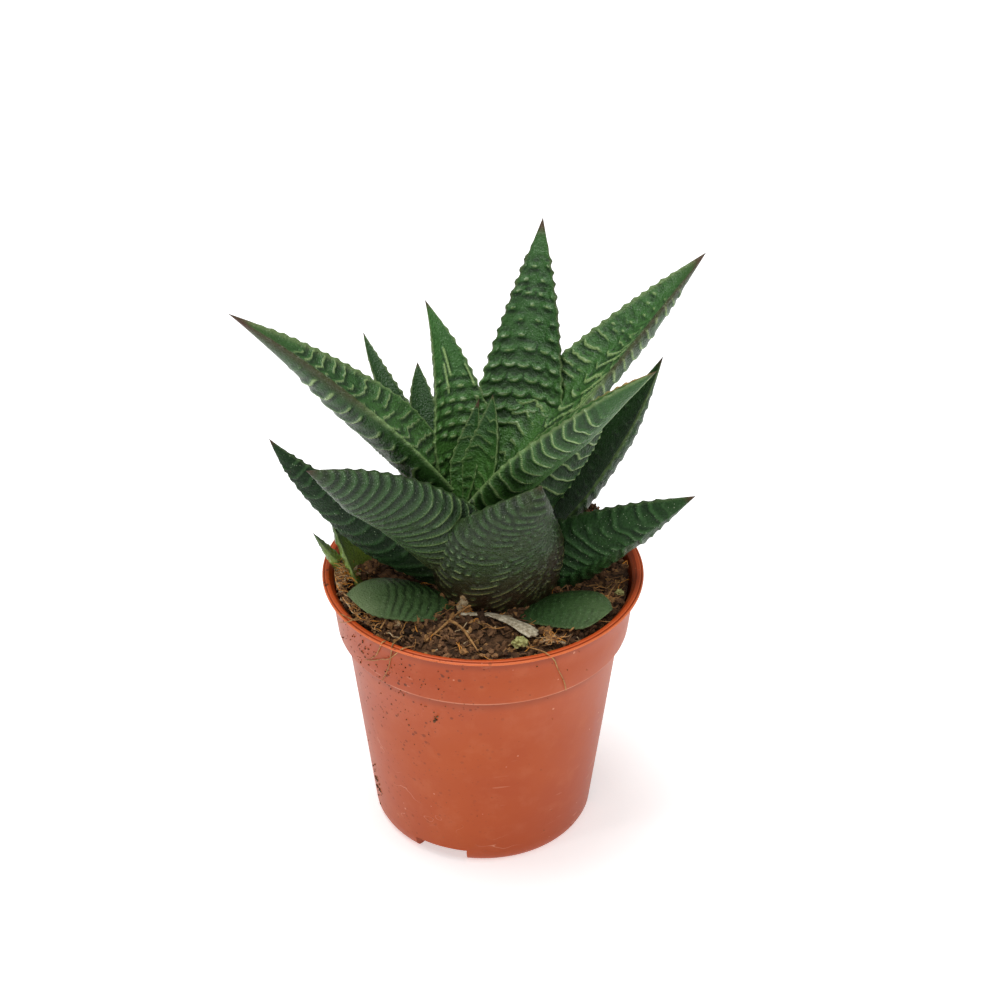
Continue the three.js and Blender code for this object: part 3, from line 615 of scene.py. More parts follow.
def leaf_values(leaf, t, v, inner_face, half, line, push):
    """What the leaf's material reads at each point, by name."""
    across = np.abs(v)
    outer_face = 1 - inner_face
    dip = hollows(push, 3, 2)
    plain_rim = PLAIN_LEAF["rim_width"]
    rim_width = plain_rim + (leaf["rim_width"] - plain_rim) * ease(t, 0.3, 0.55)
    rim = np.exp(-(((1 - across) * half / rim_width) ** 2))
    keel_line = np.exp(-((across * half / KEEL_LINE) ** 2)) * outer_face * leaf["keel_line"]
    line = line * leaf["pale"] * np.clip(half / 2, 0, 1) * (1 - leaf["fade"] * ease(t, 0.35, 0.8))
    lush_end, lush = leaf["lush"]
    brown_end, brown = leaf["brown"]
    blush_start, blush = leaf["blush"]
    slanted = t + leaf["brown_side"] * v
    foot = brown * (1 - ease(slanted, brown_end * 0.4, brown_end + 0.08))
    dark_side = np.where(v * leaf["dark_side"] < 0, 0.25, 1.0)
    return {
        "ridge": np.clip(line + keel_line * ease(t, 0.02, 0.1), 0, 1),
        "rim": rim * leaf["rim"],
        "dark_rim": leaf["dark_rim"] * ease(t, 0.35, 0.5) * dark_side,
        "orange": leaf["orange"] * ease(t, 0.55, 0.8) * rim * (v < 0),
        # cleft is read as painted shade in the hollows, and crest as a painted highlight on the
        # tops.
        "cleft": np.clip(dip / 0.12, 0, 1),
        "crest": np.clip(-dip / 0.2, 0, 1),
        "reach": np.clip(t, 0, 1) * leaf["tip"],
        "tone": np.full_like(t, leaf["tone"]),
        "dull": np.full_like(t, leaf["dull"]),
        "pup": np.full_like(t, leaf["pup"]),
        "wax": leaf["wax"] * (0.35 + 0.65 * ease(t, 0.35, 0.95)),
        # Fresher foot of the inner leaves, partly painted light shining through them.
        "lush": lush * (1 - ease(t, lush_end * 0.3, lush_end + 0.3)),
        "shaded": leaf["shaded"] * outer_face * ease(across * half, 0.2, 1.2),
        "blush": blush * ease(t, blush_start, 1.0) * (1 - 0.5 * inner_face),
        "brown": np.maximum(leaf["brown_all"], foot) * (1 - 0.75 * inner_face),
    }


def leaf_mesh(leaf, seed):
    """Vertices, faces and surface values of one leaf, a closed ring-by-ring body."""
    leaf = full_leaf(leaf)
    length = leaf_length(leaf)
    rows = int(length * (1 + leaf["heel"]) / ROW_STEP)
    columns = max(13, int(leaf["width"] * 1.12 / COLUMN_STEP))
    u = np.linspace(-1, 1, columns)
    across = 0.6 * u + 0.4 * np.sin(u * np.pi / 2)
    margin = np.zeros(2 * columns - 2)
    margin[0], margin[columns - 1] = -1, 1
    t, v = np.meshgrid(
        np.linspace(-leaf["heel"], 1, rows + 1)[:-1],
        np.concatenate([across, across[-2:0:-1]]),
        indexing="ij",
    )
    inner_face = np.zeros_like(t)
    inner_face[:, :columns] = 1
    s = t * length
    half = np.maximum(leaf_half_width(leaf, t), 0.02)
    point, normal, tangent, start = leaf_body(leaf, t, v, inner_face, half)

    outer_height, outer_line = ridge_lines(leaf["outer"], s, v, half, t, seed)
    inner_height, inner_line = inner_relief(leaf["inner"], s, v, half, t, seed + 40)
    is_inner = inner_face > 0.5
    line = np.where(is_inner, inner_line, outer_line)
    height = np.where(
        is_inner, leaf["inner"]["height"] * inner_height, leaf["outer"]["height"] * outer_height
    )
    shrink = np.clip(half / 3.0, 0, 1)
    swell = 0.5 * (smooth_noise(s / 5, v * half / 5 + 30, seed + 60) - 0.5)
    push = (height + 0.3 * swell) * shrink
    pitch = 0.92 * leaf["inner"]["pitch"]
    phase = s / pitch + 0.4 * smooth_noise(s / 7, 9 + margin * 3 + v * 0, seed + 70)
    tooth = np.exp(-(((phase - np.floor(phase + 0.5)) * pitch / TOOTH) ** 2))
    tooth = tooth * ease(t, 0.12, 0.3) * (1 - ease(t, 0.8, 0.93)) * leaf["teeth"]
    spread = tooth * ease(np.abs(v), 0.9, 1.0) * shrink
    outward = np.where(is_inner, 1.0, -1.0) * (1 - np.abs(margin))
    point = point + normal * (push * outward)[..., None]
    point = point + tangent * (spread * np.sign(v))[..., None]

    vertices, faces = tube(point, start, leaf["line"][-1])
    values = leaf_values(leaf, t, v, inner_face, half, line, push)
    for key, grid in values.items():
        values[key] = np.concatenate([grid.reshape(-1), [grid[0].mean(), grid[-1].mean()]])
    values["reach"][-1] = leaf["tip"]
    return vertices, faces, values


# Meshes


def tube(rings, start, end):
    """Vertices and faces of a closed body: rings of points, and a point to close each end."""
    count, size = rings.shape[:2]
    i = np.arange(count - 1)[:, None] * size
    j = np.arange(size)
    k = (j + 1) % size
    last = (count - 1) * size
    quads = np.stack([i + j, i + k, i + size + k, i + size + j], -1).reshape(-1, 4)
    start_fan = np.stack([k, j, np.full(size, count * size)], -1)
    end_fan = np.stack([last + j, last + k, np.full(size, count * size + 1)], -1)
    vertices = np.concatenate([rings.reshape(-1, 3), [start], [end]])
    return vertices, quads.tolist() + start_fan.tolist() + end_fan.tolist()


def new_object(name, vertices, faces, values=None, smooth=True):
    """A mesh object from points in millimetres, with its surface values."""
    mesh = bpy.data.meshes.new(name)
    mesh.from_pydata((np.asarray(vertices) * MM).tolist(), [], faces)
    mesh.validate()
    for key, numbers in (values or {}).items():
        attribute = mesh.attributes.new(key, "FLOAT", "POINT")
        attribute.data.foreach_set("value", np.asarray(numbers, dtype=np.float32))
    if smooth:
        mesh.polygons.foreach_set("use_smooth", [True] * len(mesh.polygons))
    mesh.update()
    piece = bpy.data.objects.new(name, mesh)
    bpy.context.collection.objects.link(piece)
    return piece


def face_outwards(piece):
    """Turns the piece's faces so that they all point out of its closed body."""
    only(piece)
    bpy.ops.object.mode_set(mode="EDIT")
    bpy.ops.mesh.select_all(action="SELECT")
    bpy.ops.mesh.normals_make_consistent(inside=False)
    bpy.ops.object.mode_set(mode="OBJECT")


def only(piece):
    """Makes the piece the only one selected, and active."""
    bpy.ops.object.select_all(action="DESELECT")
    piece.select_set(True)
    bpy.context.view_layer.objects.active = piece


def lathe(name, profile, segments):
    """A closed turned body: a circle extruded and resized ring by ring."""
    bpy.ops.object.select_all(action="DESELECT")
    radius, z = profile[0]
    bpy.ops.mesh.primitive_circle_add(
        vertices=segments, radius=radius * MM, fill_type="NGON", location=(0, 0, z * MM)
    )
    piece = bpy.context.active_object
    piece.name = name
    bpy.ops.object.transform_apply(location=True, rotation=True, scale=True)
    bpy.ops.object.mode_set(mode="EDIT")
    bpy.ops.mesh.select_all(action="SELECT")
    for new_radius, new_z in profile[1:]:
        bpy.ops.mesh.extrude_region_move(
            TRANSFORM_OT_translate={"value": (0, 0, (new_z - z) * MM)}
        )
        share = new_radius / radius
        if share != 1:
            bpy.ops.transform.resize(value=(share, share, 1), center_override=(0, 0, new_z * MM))
        radius, z = new_radius, new_z
    bpy.ops.mesh.select_all(action="SELECT")
    bpy.ops.mesh.normals_make_consistent(inside=False)
    bpy.ops.object.mode_set(mode="OBJECT")
    return piece


def cut(piece, cutter, operation="DIFFERENCE"):
    """Cuts the cutter out of the piece and removes it."""
    only(piece)
    modifier = piece.modifiers.new("cut", "BOOLEAN")
    modifier.operation = operation
    modifier.solver = "EXACT"
    modifier.object = cutter
    bpy.ops.object.modifier_apply(modifier=modifier.name)
    bpy.data.objects.remove(cutter, do_unlink=True)


def wedge(inner, outer, middle, opening, bottom, top):
    """Part of a ring, as a cutter: radii, angles in degrees and heights."""
    angles = np.radians(np.linspace(middle - opening / 2, middle + opening / 2, 12))
    outline = [polar(inner, a) for a in angles] + [polar(outer, a) for a in angles[::-1]]
    points = [(x, y, z) for z in (bottom, top) for x, y in outline]
    n = len(outline)
    faces = [list(range(n))[::-1], list(range(n, 2 * n))]
    faces += [[i, (i + 1) % n, n + (i + 1) % n, n + i] for i in range(n)]
    cutter = new_object("pocket_cutter", points, faces, smooth=False)
    face_outwards(cutter)
    return cutter


def strand_mesh(path, thickness, sides, steps, seed, knobs=0.15, taper=0.35, flat=1.0):
    """Vertices and faces of a root or fibre along a smooth path, in millimetres."""
    knots = np.array(path, float)
    count = len(knots)
    ends = np.vstack([2 * knots[0] - knots[1], knots, 2 * knots[-1] - knots[-2]])
    where = np.linspace(0, count - 1 - 1e-6, steps)
    k = where.astype(int)
    f = (where - k)[:, None]
    p0, p1, p2, p3 = ends[k], ends[k + 1], ends[k + 2], ends[k + 3]
    centre = 0.5 * (
        2 * p1 + (p2 - p0) * f + (2 * p0 - 5 * p1 + 4 * p2 - p3) * f**2
        + (3 * p1 - p0 - 3 * p2 + p3) * f**3
    )
    along = unit(np.gradient(centre, axis=0))
    up = np.array([0.13, 0.21, 0.97])
    side = unit(np.cross(along, up))
    over = np.cross(side, along)
    s = np.linspace(0, 1, steps)
    radius = thickness / 2 * (1 - (1 - taper) * s)
    radius = radius * (1 + knobs * 2 * (smooth_noise(s * 9, s * 0 + seed, seed) - 0.5))
    angle = np.linspace(0, 2 * np.pi, sides, endpoint=False)
    ring = (
        side[:, None] * np.cos(angle)[None, :, None]
        + over[:, None] * np.sin(angle)[None, :, None] * flat
    )
    points = centre[:, None] + ring * radius[:, None, None]
    return tube(points, centre[0], centre[-1])


def joined(parts):
    """Joins lists of (vertices, faces, tint) into one mesh with a tint value."""
    vertices, faces, tints, count = [], [], [], 0
    for points, polygons, tint in parts:
        points = np.asarray(points)
        vertices.append(points)
        faces += [[index + count for index in polygon] for polygon in polygons]
        tints.append(np.full(len(points), tint))
        count += len(points)
    return np.concatenate(vertices), faces, np.concatenate(tints)


def crumb_shapes(count, subdivisions, seed):
    """A few lumpy crumbs, each roughened from a sphere of 1 mm in radius."""
    shapes = []
    for number in range(count):
        bpy.ops.object.select_all(action="DESELECT")
        bpy.ops.mesh.primitive_ico_sphere_add(subdivisions=subdivisions, radius=1)
        crumb = bpy.context.active_object
        bpy.ops.object.mode_set(mode="EDIT")
        bpy.ops.mesh.select_all(action="SELECT")
        bpy.ops.transform.vertex_random(offset=0.34, uniform=0.1, normal=0.6, seed=seed + number)
        bpy.ops.object.mode_set(mode="OBJECT")
        mesh = crumb.data
        points = np.array([vertex.co for vertex in mesh.vertices])
        shapes.append((points, [list(polygon.vertices) for polygon in mesh.polygons]))
        bpy.data.objects.remove(crumb, do_unlink=True)
        bpy.data.meshes.remove(mesh)
    return shapes


def turned_points(points, draw, size, stretch):
    """Points stretched, turned at random and sized."""
    scale = np.array(stretch) * size
    axis = unit(draw.normal(size=3))
    turn = Matrix.Rotation(draw.uniform(0, 2 * math.pi), 3, Vector(axis))
    return (points * scale) @ np.array(turn).T


def pot_radius(z):
    """Outer radius of the pot at a height, in millimetres."""
    if z < BAND_FOOT:
        return BASE_RADIUS + (WALL_TOP_RADIUS - BASE_RADIUS) * z / BAND_FOOT
    slope = (BAND_TOP_RADIUS - BAND_FOOT_RADIUS) / (LIP_FOOT - BAND_FOOT)
    return BAND_FOOT_RADIUS + slope * (z - BAND_FOOT)


def pot_profile():
    """Half section of the pot: up its outside, over the lip and down its inside."""
    centre = BASE_RADIUS - FOOT_ROUND
    turns = [math.radians(a) for a in (0, 15, 30, 45, 60, 75)]
    foot = [
        (centre + FOOT_ROUND * math.sin(a), FOOT_ROUND * (1 - math.cos(a))) for a in turns
    ]
    outside = [(pot_radius(z), z) for z in (FOOT_ROUND, 4.6, 20, 42)]
    band = [
        (WALL_TOP_RADIUS - 0.04, BAND_FOOT - 0.35),
        (WALL_TOP_RADIUS + 0.2, BAND_FOOT),
        (BAND_FOOT_RADIUS - 0.4, BAND_FOOT),
        (BAND_FOOT_RADIUS - 0.12, BAND_FOOT + 0.1),
        (BAND_FOOT_RADIUS, BAND_FOOT + 0.45),
        ((BAND_FOOT_RADIUS + BAND_TOP_RADIUS) / 2, BAND_FOOT + 7.4),
        (BAND_TOP_RADIUS - 0.1, LIP_FOOT - 0.6),
        (BAND_TOP_RADIUS + 0.15, LIP_FOOT - 0.1),
    ]
    lip = [
        (RIM_RADIUS - 0.6, LIP_FOOT),
        (RIM_RADIUS - 0.2, LIP_FOOT + 0.08),
        (RIM_RADIUS, LIP_FOOT + 0.28),
        (RIM_RADIUS, LIP_FOOT + 0.45),
        (RIM_RADIUS - 0.12, LIP_FOOT + 0.66),
        (LIP_GROOVE + 0.26, LIP_FOOT + 0.76),
        (LIP_GROOVE + 0.12, LIP_FOOT + 0.62),
        (LIP_GROOVE, LIP_FOOT + 0.62),
        (LIP_GROOVE - 0.12, LIP_FOOT + 0.9),
        (LIP_GROOVE - 0.36, POT_HEIGHT),
        (LIP_GROOVE - 0.86, POT_HEIGHT),
        (BAND_TOP_RADIUS + 0.2, POT_HEIGHT - 0.12),
        (BAND_TOP_RADIUS, POT_HEIGHT - 0.4),
    ]
    inside = [
        (BAND_TOP_RADIUS - WALL + 0.1, LIP_FOOT - 0.5),
        (BAND_TOP_RADIUS - WALL - 0.3, LIP_FOOT - 3.5),
        (BAND_FOOT_RADIUS - WALL, BAND_FOOT + WALL),
        (WALL_TOP_RADIUS - WALL, BAND_FOOT - WALL),
        (pot_radius(FLOOR) - WALL, FLOOR + 1),
        (pot_radius(FLOOR) - WALL - 1, FLOOR),
    ]
    return [*foot, *outside, *band, *lip, *inside]


def soil_top(x, y):
    """Height of the soil in millimetres, the same mound as the solid's."""
    radius = np.hypot(x, y)
    angle = np.arctan2(y, x)
    mound = SOIL_MOUND * (1 - np.clip(radius / 38, 0, 1) ** 2)
    roll = 0.6 * np.sin(3 * angle + 1) + 0.4 * np.sin(5 * angle + radius / 6)
    return SOIL_EDGE + mound + roll * radius / 60


def soil_bed():
    """Vertices and faces of the bed: flat foot, sides and rough top."""
    angle = np.linspace(0, 2 * np.pi, SOIL_SECTORS, endpoint=False)
    radius = SOIL_RADIUS * np.arange(SOIL_RINGS, 0, -1)[:, None] / SOIL_RINGS
    x, y = radius * np.cos(angle), radius * np.sin(angle)
    lump = 1.1 * (smooth_noise(x / 1.9, y / 1.9, 4) - 0.5)
    lump = lump + 0.6 * (smooth_noise(x / 0.8, y / 0.8, 5) - 0.5)
    top = np.stack([x, y, soil_top(x, y) + lump - 0.5], -1)
    side = np.array([[(*polar(r, a), z) for a in angle] for r, z in SOIL_SIDE])
    return tube(np.concatenate([side, top]), (0, 0, SOIL_FOOT), (0, 0, soil_top(0, 0)))


def stalk_parts():
    """The flattened blades of the dried stalk, and the curl at its foot."""
    parts = []
    for number, (shift, width, lift, share) in enumerate(STALK_BLADES):
        path = []
        for i, (x, y, z) in enumerate(STALK_LINE):
            spread = shift * (i / 3) ** 1.5
            path.append((x + 0.5 * spread, y + 0.85 * spread, z + lift * (0.4 + 0.2 * i)))
        last, before = np.array(path[-1]), np.array(path[-2])
        path[-1] = tuple(before + (last - before) * share)
        blade = strand_mesh(
            path, width, sides=12, steps=40, seed=number + 3, knobs=0.35, taper=1.5, flat=0.35
        )
        parts.append((*blade, 0.5))
    curl = strand_mesh(STALK_CURL, 0.8, sides=8, steps=20, seed=11, taper=0.6, flat=0.5)
    return [*parts, (*curl, 0.5)]


# Loose bits on the soil and the pot


def clamp(value):
    """The value, held between 0 and 1."""
    return min(1.0, max(0.0, value))


def bed_place(draw, inner, outer):
    """A random radius and angle on the bed, between two shares of its area."""
    radius = SOIL_RADIUS * math.sqrt(draw.uniform(inner, outer))
    return radius, draw.uniform(0, 2 * math.pi)


def kept_in(spot, limit):
    """The spot, moved towards the pot's axis where it lies further out than the limit."""
    share = min(1, limit / math.hypot(spot[0], spot[1]))
    return spot * np.array([share, share, 1])


def loose_crumbs(draw, count, coarse, plain):
    """Crumbs all over the bed, the larger ones from the coarse shapes."""
    parts = []
    for number in range(count):
        radius, angle = bed_place(draw, 0.0, 1.0)
        size = 0.4 + 1.35 * draw.beta(1.2, 4.0)
        x, y = polar(min(abs(radius - 0.3), SOIL_RADIUS - size * 0.9), angle)
        shapes = coarse if size > 0.95 else plain
        points, polygons = shapes[number % len(shapes)]
        stretch = (draw.uniform(0.7, 1.7), draw.uniform(0.6, 1.1), draw.uniform(0.5, 0.95))
        points = turned_points(points, draw, size, stretch)
        rise = draw.uniform(-0.25, 0.5) * size - 0.1
        tint = clamp(draw.beta(1.3, 2.2) + (0.3 if draw.random() < 0.08 else 0))
        parts.append((points + np.array([x, y, soil_top(x, y) + rise]), polygons, tint))
    return parts


def heaped_crumbs(draw, coarse, plain):
    """The crumbs of all heaps."""
    parts = []
    for middle, spread, count, size, shade, drawn in HEAPS:
        for number in range(count):
            spot = np.array(middle) + draw.normal(size=3) * np.array(spread) * 0.6
            spot = kept_in(spot, HEAP_LIMIT - 0.6 * size)
            shapes = coarse if size > 0.8 else plain
            points, polygons = shapes[number % len(shapes)]
            stretch = (draw.uniform(0.8, 1.2) * drawn, draw.uniform(0.6, 1.0), 0.7)
            points = turned_points(points, draw, size * draw.uniform(0.5, 1.2), stretch)
            parts.append((points + spot, polygons, clamp(shade + 0.2 * draw.normal())))
    return parts


def loose_chips(draw, count):
    """Short flat chips of bark, each bent a little."""
    parts = []
    for number in range(count):
        x, y = polar(*bed_place(draw, 0.1, 0.93))
        heading, length = draw.uniform(0, 2 * math.pi), draw.uniform(0.9, 3.4)
        path = []
        for k in (-0.5, 0, 0.5):
            dx, dy = polar(length * k, heading)
            lift = 0.5 + 0.6 * k * draw.uniform(-0.5, 1.0)
            path.append((x + dx, y + dy, soil_top(x, y) + lift))
        chip = strand_mesh(
            path, draw.uniform(0.3, 0.9), sides=6, steps=4, seed=number, taper=0.8, flat=0.4
        )
        parts.append((*chip, draw.beta(1.6, 2)))
    return parts


def loose_fibres(draw, count):
    """Fine fibres that wander over the bed."""
    parts = []
    for number in range(count):
        spot = np.array([*polar(*bed_place(draw, 0.15, 0.96)), 0.0])
        heading, length = draw.uniform(0, 2 * math.pi), draw.uniform(2.5, 9)
        path = []
        for step in range(5):
            lift = 0.35 + 0.9 * math.sin(math.pi * step / 4) * draw.uniform(0.1, 1)
            spot = kept_in(spot, FIBRE_LIMIT)
            path.append((spot[0], spot[1], soil_top(spot[0], spot[1]) + lift))
            heading += draw.uniform(-0.8, 0.8)
            spot = spot + np.array([*polar(length / 4, heading), 0.0])
        fibre = strand_mesh(path, draw.uniform(0.16, 0.34), sides=5, steps=9, seed=number)
        parts.append((*fibre, draw.uniform(0, 1)))
    return parts


def tangled_fibres(draw):
    """The fibres of all tangles."""
    parts = []
    for middle, spread, count, shade in TANGLES:
        for number in range(count):
            spot = np.array(middle) + draw.normal(size=3) * np.array(spread) * 0.5
            heading, length = draw.uniform(0, 2 * math.pi), draw.uniform(1.5, 4.5)
            path = []
            for _ in range(5):
                spot = kept_in(spot, TANGLE_LIMIT)
                path.append(tuple(spot))
                heading += draw.uniform(-1.2, 1.2)
                climb = draw.uniform(-0.25, 0.35)
                spot = spot + length / 4 * np.array([*polar(1, heading), climb])
            fibre = strand_mesh(path, draw.uniform(0.14, 0.3), sides=5, steps=9, seed=number)
            parts.append((*fibre, min(1, shade + 0.25 * draw.normal())))
    return parts


def stray_crumbs(draw, shapes):
    """Crumbs that stick to the outside of the pot."""
    parts = []
    for angle, height, spread, rise, count, size in SPLASHES:
        for number in range(count):
            a = math.radians(angle + draw.normal() * spread)
            z = min(LIP_FOOT - 0.6, max(3.0, height + draw.normal() * rise))
            points, polygons = shapes[number % len(shapes)]
            stretch = (draw.uniform(0.5, 1.1), draw.uniform(0.5, 1.0), 0.6)
            points = turned_points(points, draw, size * draw.uniform(0.5, 1.2), stretch)
            points = points + np.array([*polar(pot_radius(z) + 0.02, a), z])
            parts.append((points, polygons, draw.uniform(0.05, 0.5)))
    return parts


# Materials


def math_node(operation, swapped=False):
    """An operator of Signal, which adds a Math node."""

    def apply(signal, other):
        values = (other, signal) if swapped else (signal, other)
        settings = {"operation": operation}
        return signal.shader.add("ShaderNodeMath", settings, dict(enumerate(values)))

    return apply


class Signal:
    """A shader value: arithmetic on it adds Math nodes."""

    def __init__(self, shader, socket):
        self.shader = shader
        self.socket = socket

    __add__ = math_node("ADD")
    __radd__ = math_node("ADD", swapped=True)
    __sub__ = math_node("SUBTRACT")
    __rsub__ = math_node("SUBTRACT", swapped=True)
    __mul__ = math_node("MULTIPLY")
    __rmul__ = math_node("MULTIPLY", swapped=True)
    __pow__ = math_node("POWER")

    def ease(self, low, high, start=0.0, stop=1.0):
        """start below low, stop above high, and smooth between."""
        return self.shader.add(
            "ShaderNodeMapRange",
            {"interpolation_type": "SMOOTHSTEP", "clamp": True},
            {"Value": self, "From Min": low, "From Max": high, "To Min": start, "To Max": stop},
        )

    def between(self, rise, fall):
        """1 between two ramps, each given by its start and its end, and 0 outside them."""
        return self.ease(*rise) * self.ease(*fall, 1.0, 0.0)


class Finish:
    """One procedural material, written as expressions."""

    def __init__(self, name):
        self.material = bpy.data.materials.new(name)
        self.material.use_nodes = True
        self.tree = self.material.node_tree
        self.tree.nodes.clear()
        self.surface = self.tree.nodes.new("ShaderNodeBsdfPrincipled")
        output = self.tree.nodes.new("ShaderNodeOutputMaterial")
        self.tree.links.new(self.surface.outputs["BSDF"], output.inputs["Surface"])

    def put(self, socket, value):
        """Links a signal to a socket, or sets its plain value."""
        if isinstance(value, Signal):
            self.tree.links.new(value.socket, socket)
        elif hasattr(socket.default_value, "__len__"):
            value = tuple(value)
            if len(socket.default_value) == 4 and len(value) == 3:
                value += (1.0,)
            socket.default_value = value
        else:
            socket.default_value = value

    def node(self, kind, settings, inputs):
        """A new node: its settings first, then the values or links of its sockets."""
        node = self.tree.nodes.new(kind)
        for key, value in settings.items():
            setattr(node, key, value)
        for key, value in inputs.items():
            self.put(node.inputs[key], value)
        return node

    def add(self, kind, settings, inputs, output=0):
        """One output of a new node."""
        return Signal(self, self.node(kind, settings, inputs).outputs[output])

    def place(self):
        """Object coordinates, in metres."""
        return self.add("ShaderNodeTexCoord", {}, {}, "Object")

    def axes(self):
        """The Object coordinates as three values."""
        split = self.node("ShaderNodeSeparateXYZ", {}, {0: self.place()})
        return [Signal(self, socket) for socket in split.outputs]

    def value(self, name):
        """The piece's own surface value of that name."""
        return self.add("ShaderNodeAttribute", {"attribute_name": name}, {}, "Fac")

    def noise(self, scale, detail, roughness=0.55, where=None):
        """Soft clouds, from 0 to 1."""
        where = where or self.place()
        inputs = {"Vector": where, "Scale": scale, "Detail": detail, "Roughness": roughness}
        return self.add("ShaderNodeTexNoise", {}, inputs)

    def cells(self, scale, output="Distance"):
        """Distance to the nearest of many scattered points, or each one's own colour."""
        inputs = {"Vector": self.place(), "Scale": scale}
        return self.add("ShaderNodeTexVoronoi", {}, inputs, output)

    def specks(self, scale, patches, share, low, high, detail=2):
        """Dots, one in each cell at most, and larger where the patches are strong."""
        return (self.noise(patches, detail) * share - self.cells(scale)).ease(low, high)

    def stretched(self, scale, turn):
        """Object coordinates stretched and turned, for scratches."""
        inputs = {"Vector": self.place(), "Scale": scale, "Rotation": turn}
        return self.add("ShaderNodeMapping", {}, inputs)

    def mix(self, share, first, second):
        """A colour between two, by a share from 0 to 1."""
        settings = {"data_type": "RGBA", "blend_type": "MIX", "clamp_factor": True}
        return self.add("ShaderNodeMix", settings, {0: share, 6: first, 7: second}, 2)

    def ramp(self, share, *stops):
        """A colour from a row of stops, each a place from 0 to 1 and its colour."""
        node = self.node("ShaderNodeValToRGB", {}, {"Fac": share})
        elements = node.color_ramp.elements
        while len(elements) < len(stops):
            elements.new(0.5)
        for element, (position, colour) in zip(elements, stops):
            element.position = position
            element.color = (*colour, 1.0)
        return Signal(self, node.outputs["Color"])

    def relief(self, height, distance, strength):
        """Fine surface relief from a height signal."""
        inputs = {"Height": height, "Distance": distance, "Strength": strength}
        self.put(self.surface.inputs["Normal"], self.add("ShaderNodeBump", {}, inputs))

    def finished(self, colour, roughness, specular):
        """The material, with the surface's colour, roughness and specular level set."""
        self.put(self.surface.inputs["Base Color"], colour)
        self.put(self.surface.inputs["Roughness"], roughness)
        self.put(self.surface.inputs["Specular IOR Level"], specular)
        return self.material


def leaf_finish(name, looks):
    """Waxy leaf skin: green with light ridges, rims, dark tips and brown foot, painted shade in
    the hollows, and painted highlights and glints on the crests.
    """
    skin = Finish(name)
    shaded_leaf = name.startswith("leaf_shaded")
    ridge, rim, reach = skin.value("ridge"), skin.value("rim"), skin.value("reach")
    tone, brown, lush = skin.value("tone"), skin.value("brown"), skin.value("lush")
    dark_rim, orange, blush = skin.value("dark_rim"), skin.value("orange"), skin.value("blush")
    cleft, crest = skin.value("cleft"), skin.value("crest")
    broad = skin.noise(90, 3)
    grain = skin.noise(1500, 3, 0.6)
    fine = skin.cells(1900)
    green = skin.mix(tone, looks.deep_green, looks.bright_green)
    green = skin.mix((broad - 0.42) * 1.6, green, looks.dusk_green)
    green = skin.mix(grain.ease(0.4, 0.75) * 0.25, green, looks.pale_grain_and_highlight)
    # Fresher green at the foot of the inner leaves, partly painted light shining through them.
    green = skin.mix(lush, green, looks.lush_green)
    green = skin.mix(blush * (0.5 + broad), green, looks.blush_brown)
    green = skin.mix(brown * (0.75 + 0.5 * broad), green, looks.foot_brown)
    green = skin.mix(skin.value("shaded"), green, looks.deep_green)
    green = skin.mix(skin.value("pup") * reach.ease(0.35, 0.95, 1.0, 0.0), green, looks.pup_green)
    green = skin.mix(skin.value("wax") * (0.5 + broad), green, looks.wax_green)
    # Painted shade in the hollows between the ridges and tubercles.
    green = skin.mix(cleft * 0.7, green, looks.painted_cleft_shade)
    # Painted highlight on the tops of the ridges and tubercles.
    green = skin.mix(crest * 0.35, green, looks.pale_grain_and_highlight)
    rib = skin.mix(brown * 0.9, looks.ridge_green, looks.foot_rib)
    rib = skin.mix(tone.ease(0.0, 0.3), looks.faint_rib, rib)
    rib = skin.mix(skin.value("dull") * (1 - brown), rib, looks.faint_rib)
    line = (ridge + (grain - 0.5) * 0.3).ease(0.3, 0.95)
    colour = skin.mix(line * 0.8, green, rib)
    edge = skin.mix(dark_rim, looks.ridge_green, looks.tip_brown)
    colour = skin.mix(rim * 0.8, colour, edge)
    colour = skin.mix(orange * 0.8, colour, looks.rim_orange)
    colour = skin.mix((reach + broad * 0.04).ease(0.95, 1.01) * 0.85, colour, looks.tip_brown)
    # Painted glints on the highest crests, weaker on the shaded leaves.
    painted_glint = (crest * (0.55 + 0.9 * skin.noise(700, 2))).ease(0.92, 1.12) * (1 - brown)
    colour = skin.mix(painted_glint * (0.15 if shaded_leaf else 0.4), colour, looks.painted_glint)
    # Painted glint specks scattered over the skin, stronger on the shaded leaves.
    painted_glint_specks = skin.specks(1150, 260, 0.34, 0.02, 0.09)
    colour = skin.mix(painted_glint_specks * (0.4 if shaded_leaf else 0.25), colour, looks.painted_glint)
    peel = skin.noise(720, 3, 0.55)
    skin.relief(grain * 0.7 + fine * 0.5 + peel * 1.4, 0.0005, 0.75)
    roughness = 0.29 + 0.16 * grain - 0.14 * crest
    return skin.finished(colour, roughness, 0.14 if shaded_leaf else 0.34)


